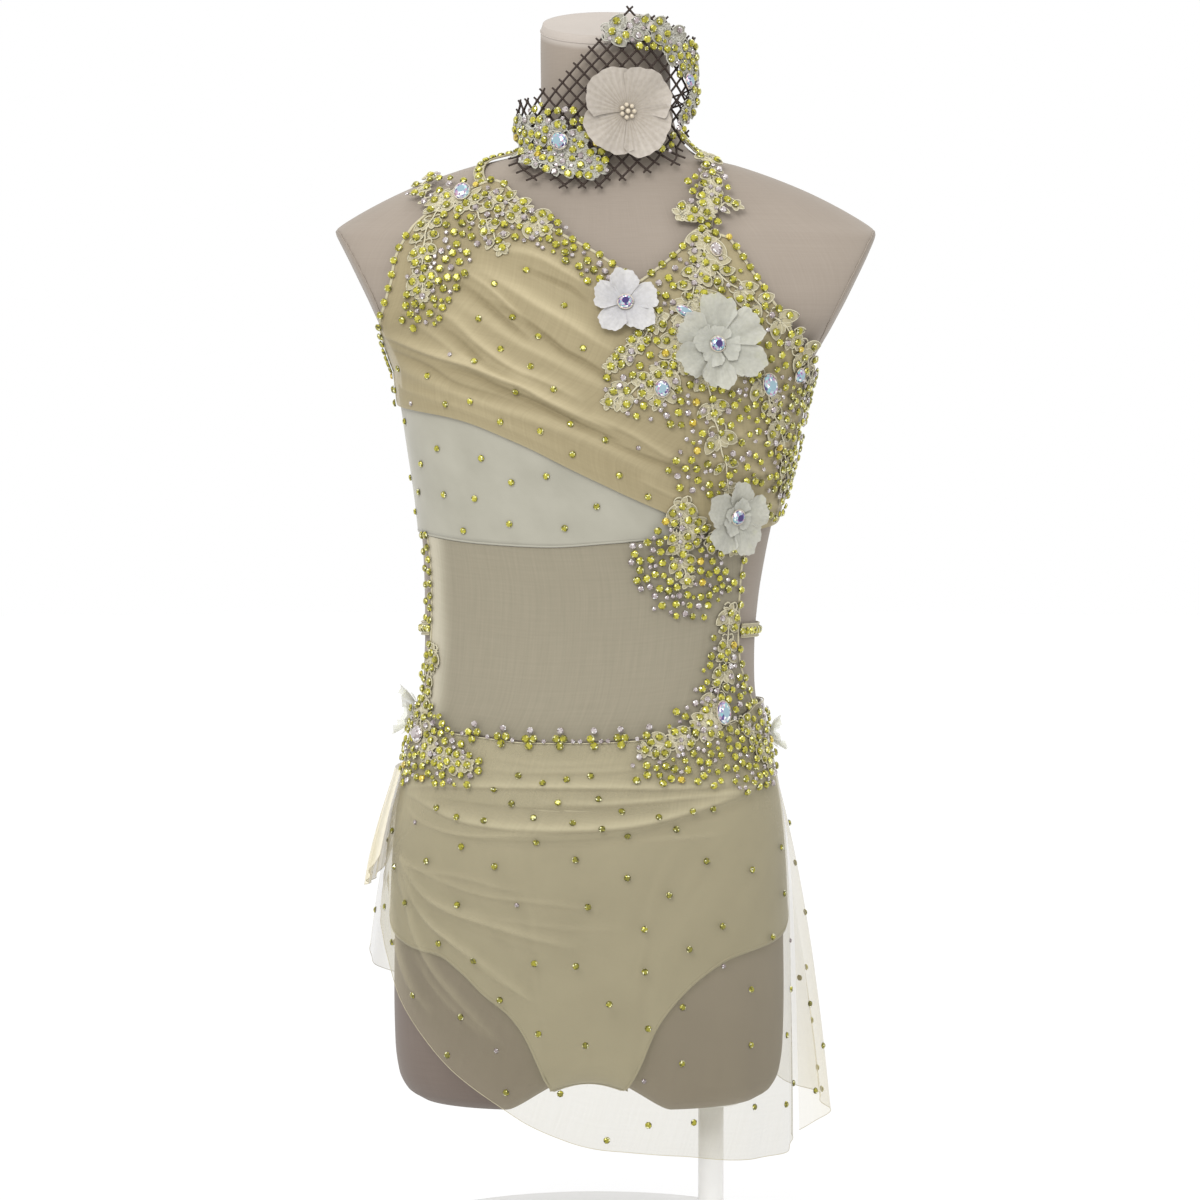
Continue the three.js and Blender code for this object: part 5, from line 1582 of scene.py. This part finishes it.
def make_flowers():
    for name, turn, height, above, radius, petals in FLOWERS:
        stand = stand_at(name, turn, height, above)
        heap = Heap()
        setter.take(stand[0], 0.82 * radius)
        if name == "flower_neck":
            for i, degrees in enumerate((44, 136, 224, 316)):
                angle, rise = math.radians(degrees), 0.5 + 0.4 * (i % 2)
                petal(heap, stand, angle, radius * 1.09, 0.95, rise, 0.13, 0.2, 0.7, 0.16)
            make_pearls(stand)
        elif "hip" in name:
            for i in range(petals + 2):
                angle = i * 2 * math.pi / (petals + 2)
                petal(heap, stand, angle, radius * 1.15, 0.62, 0.2, 0.42 + 0.22 * (i % 3), 0.3, 0.6)
        else:
            spread = math.pi / petals * 1.1
            for i in range(petals):
                angle = math.radians(90) + i * 2 * math.pi / petals + chance.uniform(-0.05, 0.05)
                length = radius * chance.uniform(0.94, 1.1)
                petal(heap, stand, angle, length, spread, 0.3 + 0.5 * (i % 2), 0.14, 0.36, 1.2)
            if name != "flower_neckline":
                for i in range(4):
                    angle = 1.1 + i * math.pi / 2 + chance.uniform(-0.25, 0.25)
                    petal(heap, stand, angle, radius * chance.uniform(0.38, 0.56), 0.82, 1.1, 0.14, 0.2, 1.4)
        build_heap(name.replace("flower", "petals"), heap, FLOWER_FINISH[name], "petal", [name])


def make_pearls(stand):
    centre, right, up, out = stand
    heap = Heap()
    for i in range(8):
        angle = i * 2 * math.pi / 7
        reach = 0 if i == 7 else 3.9
        middle = centre + reach * (math.cos(angle) * right + math.sin(angle) * up) + 2.6 * out
        ball(heap, middle, 1.4 if i < 7 else 1.6)
    build_heap("neck_flower_pearls", heap, PEARL, "crystal")


def ball(heap, middle, radius):
    rings, sides = 6, 10
    polar = np.linspace(0.25, math.pi - 0.25, rings)[:, None]
    angle = np.arange(sides)[None] * 2 * math.pi / sides
    points = np.stack([np.sin(polar) * np.cos(angle), np.sin(polar) * np.sin(angle),
                       -np.cos(polar) + 0 * angle], -1).reshape(-1, 3)
    faces = lattice(sides, rings - 1, closed=True).tolist()
    faces += [list(range(sides))[::-1], [(rings - 1) * sides + i for i in range(sides)]]
    heap.add(middle + radius * points, faces, 1.0)


def make_crystals():
    settings = Heap()
    points, faces = LARGE_CUT
    for name, turn, height, above, long, wide, spin in CRYSTALS:
        centre, right, up, out = stand_at(name, turn, height, above)
        flower_centre = name.startswith("centre")
        a = math.radians(spin)
        x = right * math.cos(a) + up * math.sin(a)
        y = np.cross(out, x)
        shape = points * [wide, long, 9.5]
        finish = CLEAR if name in ("crystal_hip", "crystal_neckline") else AURORA
        painted_glints = painted_facet_glints(12, 3, 0.1, -0.1 if flower_centre else 0.45)
        marks = {"glint": ("FLOAT", "FACE", "value", painted_glints)}
        label = name.replace("crystal", "gem").replace("centre", "gem_centre")
        places = centre + shape @ np.stack([x, y, out])
        build(label, places, faces, finish, "crystal", [name], smooth=False, marks=marks)
        angle = np.arange(24) * 2 * math.pi / 24
        across, along = 0.52 * wide * np.cos(angle), 0.52 * long * np.sin(angle)
        loop = centre + 0.4 * out + across[:, None] * x + along[:, None] * y
        cord(settings, loop, 0.7, sides=5, closed=True)
        setter.take(centre, max(long, wide) / 2)
    build_heap("gem_settings", settings, PEARL, "crystal")


# ---------------------------------------------------------------- neckpiece


def make_net():
    """Diamond net: cords from knot to knot, kept where a gap's middle lies in the outline."""
    per_degree = math.pi * (NECK_WIDE + NECK_FRONT) / 360
    half = NET_PITCH / 2

    heap = Heap()
    cords, knots = set(), set()
    for row in range(28):
        for column in range(-24, 25):
            x = column * NET_PITCH + (row % 2) * half
            y = 670 + row * half
            if not inside(NET_OUTLINE, np.array([x / per_degree]), np.array([y]))[0]:
                continue
            sides = ((1, 0), (0, 1), (-1, 0), (0, -1))
            corners = [(round(x + dx * half, 3), round(y + dy * half, 3)) for dx, dy in sides]
            for i in range(4):
                cords.add(tuple(sorted((corners[i], corners[(i + 1) % 4]))))
            knots.update(corners)
    for a, b in sorted(cords):
        t = shares(3)[:, None]
        flat = np.array(a) * (1 - t) + np.array(b) * t
        cord(heap, ring(flat[:, 0] / per_degree, flat[:, 1], 0.6), NET_CORD, sides=5)
    for x, y in sorted(knots):
        ball(heap, ring(np.array(x / per_degree), np.array(y), np.array(0.7)), 1.1)
        for dx, dy in ((1, 1), (1, -1), (-1, 1), (-1, -1)):
            far = (round(x + dx * half, 3), round(y + dy * half, 3))
            if tuple(sorted(((x, y), far))) in cords:
                continue
            t = shares(2)[:, None] * 0.42
            flat = np.array([x, y]) * (1 - t) + np.array(far) * t
            lift = 0.6 + 0.8 * shares(2)
            cord(heap, ring(flat[:, 0] / per_degree, flat[:, 1], lift), NET_CORD * 0.9, sides=5)
    build_heap("neck_net_cords", heap, NET, "net_cord", ["neck_net"])

    band = Heap()
    here = edge(NECK_TIE)(shares(110))
    place, _, out = seat(ring, here[:, 0], here[:, 1], lift=0.5)
    side = unit(np.cross(np.gradient(place, axis=0), out))
    for hand in (-1, 1):
        cord(band, place + side * hand * 3.3, 1.3, 1.0, out, sides=6)
        wave = 3.1 * np.sin(shares(110) * 62 + (hand + 1) * math.pi / 2)
        cord(band, place + side * wave[:, None], 1.0, 0.9, out, sides=5)
    build_heap("neck_tie_band", band, NET, "net_cord", ["neck_tie"])


def make_lace():
    """Builds every lace piece and sets the stones on and around it."""
    regions = {
        "lace_shoulder_left": "shoulder",
        "lace_bust_right": "bust",
        "lace_under_bust": "bust",
        "lace_waist_right": "waist",
        "lace_hip_left": "waist",
        "lace_strap_right": "shoulder",
        "lace_neck_low": "neck",
        "lace_neck_high": "neck",
    }
    for rows, at, finish in ((VINES, lace_at, LACE), (NECK_VINES, neck_lace_at, NECK_LACE)):
        for name in dict.fromkeys(row[0] for row in rows):
            heap = Heap()
            spots = []
            for piece, route, pairs, size in rows:
                if piece == name:
                    lace_vine(heap, route, pairs, size, at, spots)
            build_heap(name.replace("lace", "corded_lace"), heap, finish, "lace", [name])
            set_on_lace(regions[name], spots)


SURFACES = {"cloth": lace_at, "net": neck_lace_at}


def make_stones():
    """Stones off the lace: edges, trefoils at the waist, and the scattered ones."""
    for rows in (HALTER_LEFT, HALTER_RIGHT, WAIST_STRAP, HALTER_BACK):
        scatter("straps", first_layer_at, along_edge(rows, 5.3, first_layer_at), line_kind, 0.1, 1.0)
    for rows, at, spacing in (
        (ARMHOLE_LEFT, second_layer_at, 8),
        (NECKLINE_LEFT, second_layer_at, 9),
        (NECKLINE_RIGHT, second_layer_at, 7),
        (ARMHOLE_RIGHT[1:], second_layer_at, 7),
        (MESH_RIGHT, first_layer_at, 8),
        (MESH_LEFT, first_layer_at, 7),
        (moved(MESH_LEFT, -3, 0), first_layer_at, 9),
    ):
        scatter("edges", at, along_edge(rows, spacing, at), line_kind, 0.4, 1.2)
    for turn in TREFOILS:
        height = waist_line(turn)
        offsets = ((-1.6, 2.0), (1.6, 2.0), (0, -2.3))
        spots = [(turn + dx, height + dy) for dx, dy in offsets]
        scatter("waist", second_layer_at, spots, lambda: ("citrine", STONE_LARGE), -0.8, 1.6)
        scatter("waist", second_layer_at, [(turn, height + 7)], lambda: ("clear", STONE_MIDDLE), 0.0, 0.8)
    gaps = np.arange(-52, 34, 3.2)
    scatter("waist", second_layer_at, [(t, waist_line(t) + 0.5) for t in gaps],
            lambda: ("clear", STONE_SMALL), 0.5, 1.4)

    for region, at, polygon in CLUSTERS:
        scatter(region, SURFACES[at], within(polygon, 2400, 7), dense_kind, 0.4, 1.0)
        scatter(region, SURFACES[at], within(polygon, 1800, 6), fill_kind, 0.3, 1.0)
    spread = within(DRAPE_AREA, 1600)
    hem = through(DRAPE_HEM)
    spread = spread[spread[:, 1] > hem(spread[:, 0]) + 4]
    scatter("bust", folded_at, spread, sparse_kind, 13, 0.2)
    scatter("bust", first_layer_at, within(BAND_AREA, 900), sparse_kind, 15, 1.0)
    for region, at, low, left, right, spacing in (
        ("skirt", skirt_front_at, through(FRONT_HEM), -82, 82, 20),
        ("skirt", skirt_back_at, through(BACK_HEM), 88, 268, 24),
    ):
        turn = chance.uniform(left, right, 3000)
        height = chance.uniform(90, 335, 3000)
        keep = (height > low(turn) + 6) & (height < waist_line(turn) - 10)
        scatter(region, at, np.stack([turn, height], -1)[keep][:1200], sparse_kind, spacing, 0.2)
    scatter("skirt", skirt_front_at, within(SWAG_AREA, 700), sparse_kind, 9.5, 0.2)
    scatter("bust", first_layer_at, within(BACK_BAND_AREA, 400), sparse_kind, 17, 1.0)

    finishes = {"citrine": CITRINE, "gold": GOLD, "clear": CLEAR}
    for (region, kind), tray in sorted(trays.items()):
        tray.build(f"stones_{region}_{kind}", finishes[kind], -0.2 if region == "skirt" else 0.0)


# ---------------------------------------------------------------- studio


def make_studio():
    scene = bpy.context.scene
    scene.view_settings.view_transform = "Standard"
    world = bpy.data.worlds.new("studio")
    scene.world = world
    world.use_nodes = True
    sky = world.node_tree.nodes["Background"]
    sky.inputs["Color"].default_value = (1, 1, 1, 1)
    sky.inputs["Strength"].default_value = 1.0

    floor_finish = Finish("floor", Roughness=0.7)
    cloudy = floor_finish.noise(floor_finish.object_place(), 2.0)
    floor_finish.feed("Base Color", floor_finish.blend(cloudy, (0.17, 0.17, 0.17), (0.2, 0.2, 0.2)))
    floor_finish.shader.inputs["Emission Color"].default_value = (1, 1, 1, 1)
    floor_finish.shader.inputs["Emission Strength"].default_value = 0.76
    mesh = bpy.data.meshes.new("floor")
    angle = np.arange(64) * 2 * math.pi / 64
    mesh.from_pydata([(8 * math.cos(a), 8 * math.sin(a), 0) for a in angle], [], [list(range(64))])
    mesh.materials.append(floor_finish.material)
    floor = bpy.data.objects.new("floor", mesh)
    scene.collection.objects.link(floor)

    for name, place, size, power in (
        ("key", (-0.7, -2.2, 1.9), 1.2, 36),
        ("overhead", (0.3, 0.1, 2.3), 1.2, 6),
    ):
        light = bpy.data.lights.new(name, "AREA")
        light.size = size
        light.energy = power
        lamp = bpy.data.objects.new(name, light)
        scene.collection.objects.link(lamp)
        aim_at(lamp, place, (0, 0, 0.42))

    camera = bpy.data.cameras.new("camera")
    camera.sensor_width = 36
    camera.lens = 96
    eye = bpy.data.objects.new("camera", camera)
    scene.collection.objects.link(eye)
    aim_at(eye, (0.0, -2.0, 0.51), (0.0019, 0.0, 0.416))
    scene.camera = eye


def aim_at(thing, place, target):
    thing.location = place
    thing.rotation_mode = "QUATERNION"
    thing.rotation_quaternion = (Vector(target) - Vector(place)).to_track_quat("-Z", "Y")


make_form()
make_seams()
make_stand()
make_bodice()
make_bindings()
make_straps()
make_briefs()
make_skirt()
make_hems()
make_flowers()
make_crystals()
make_net()
make_lace()
make_stones()
make_studio()
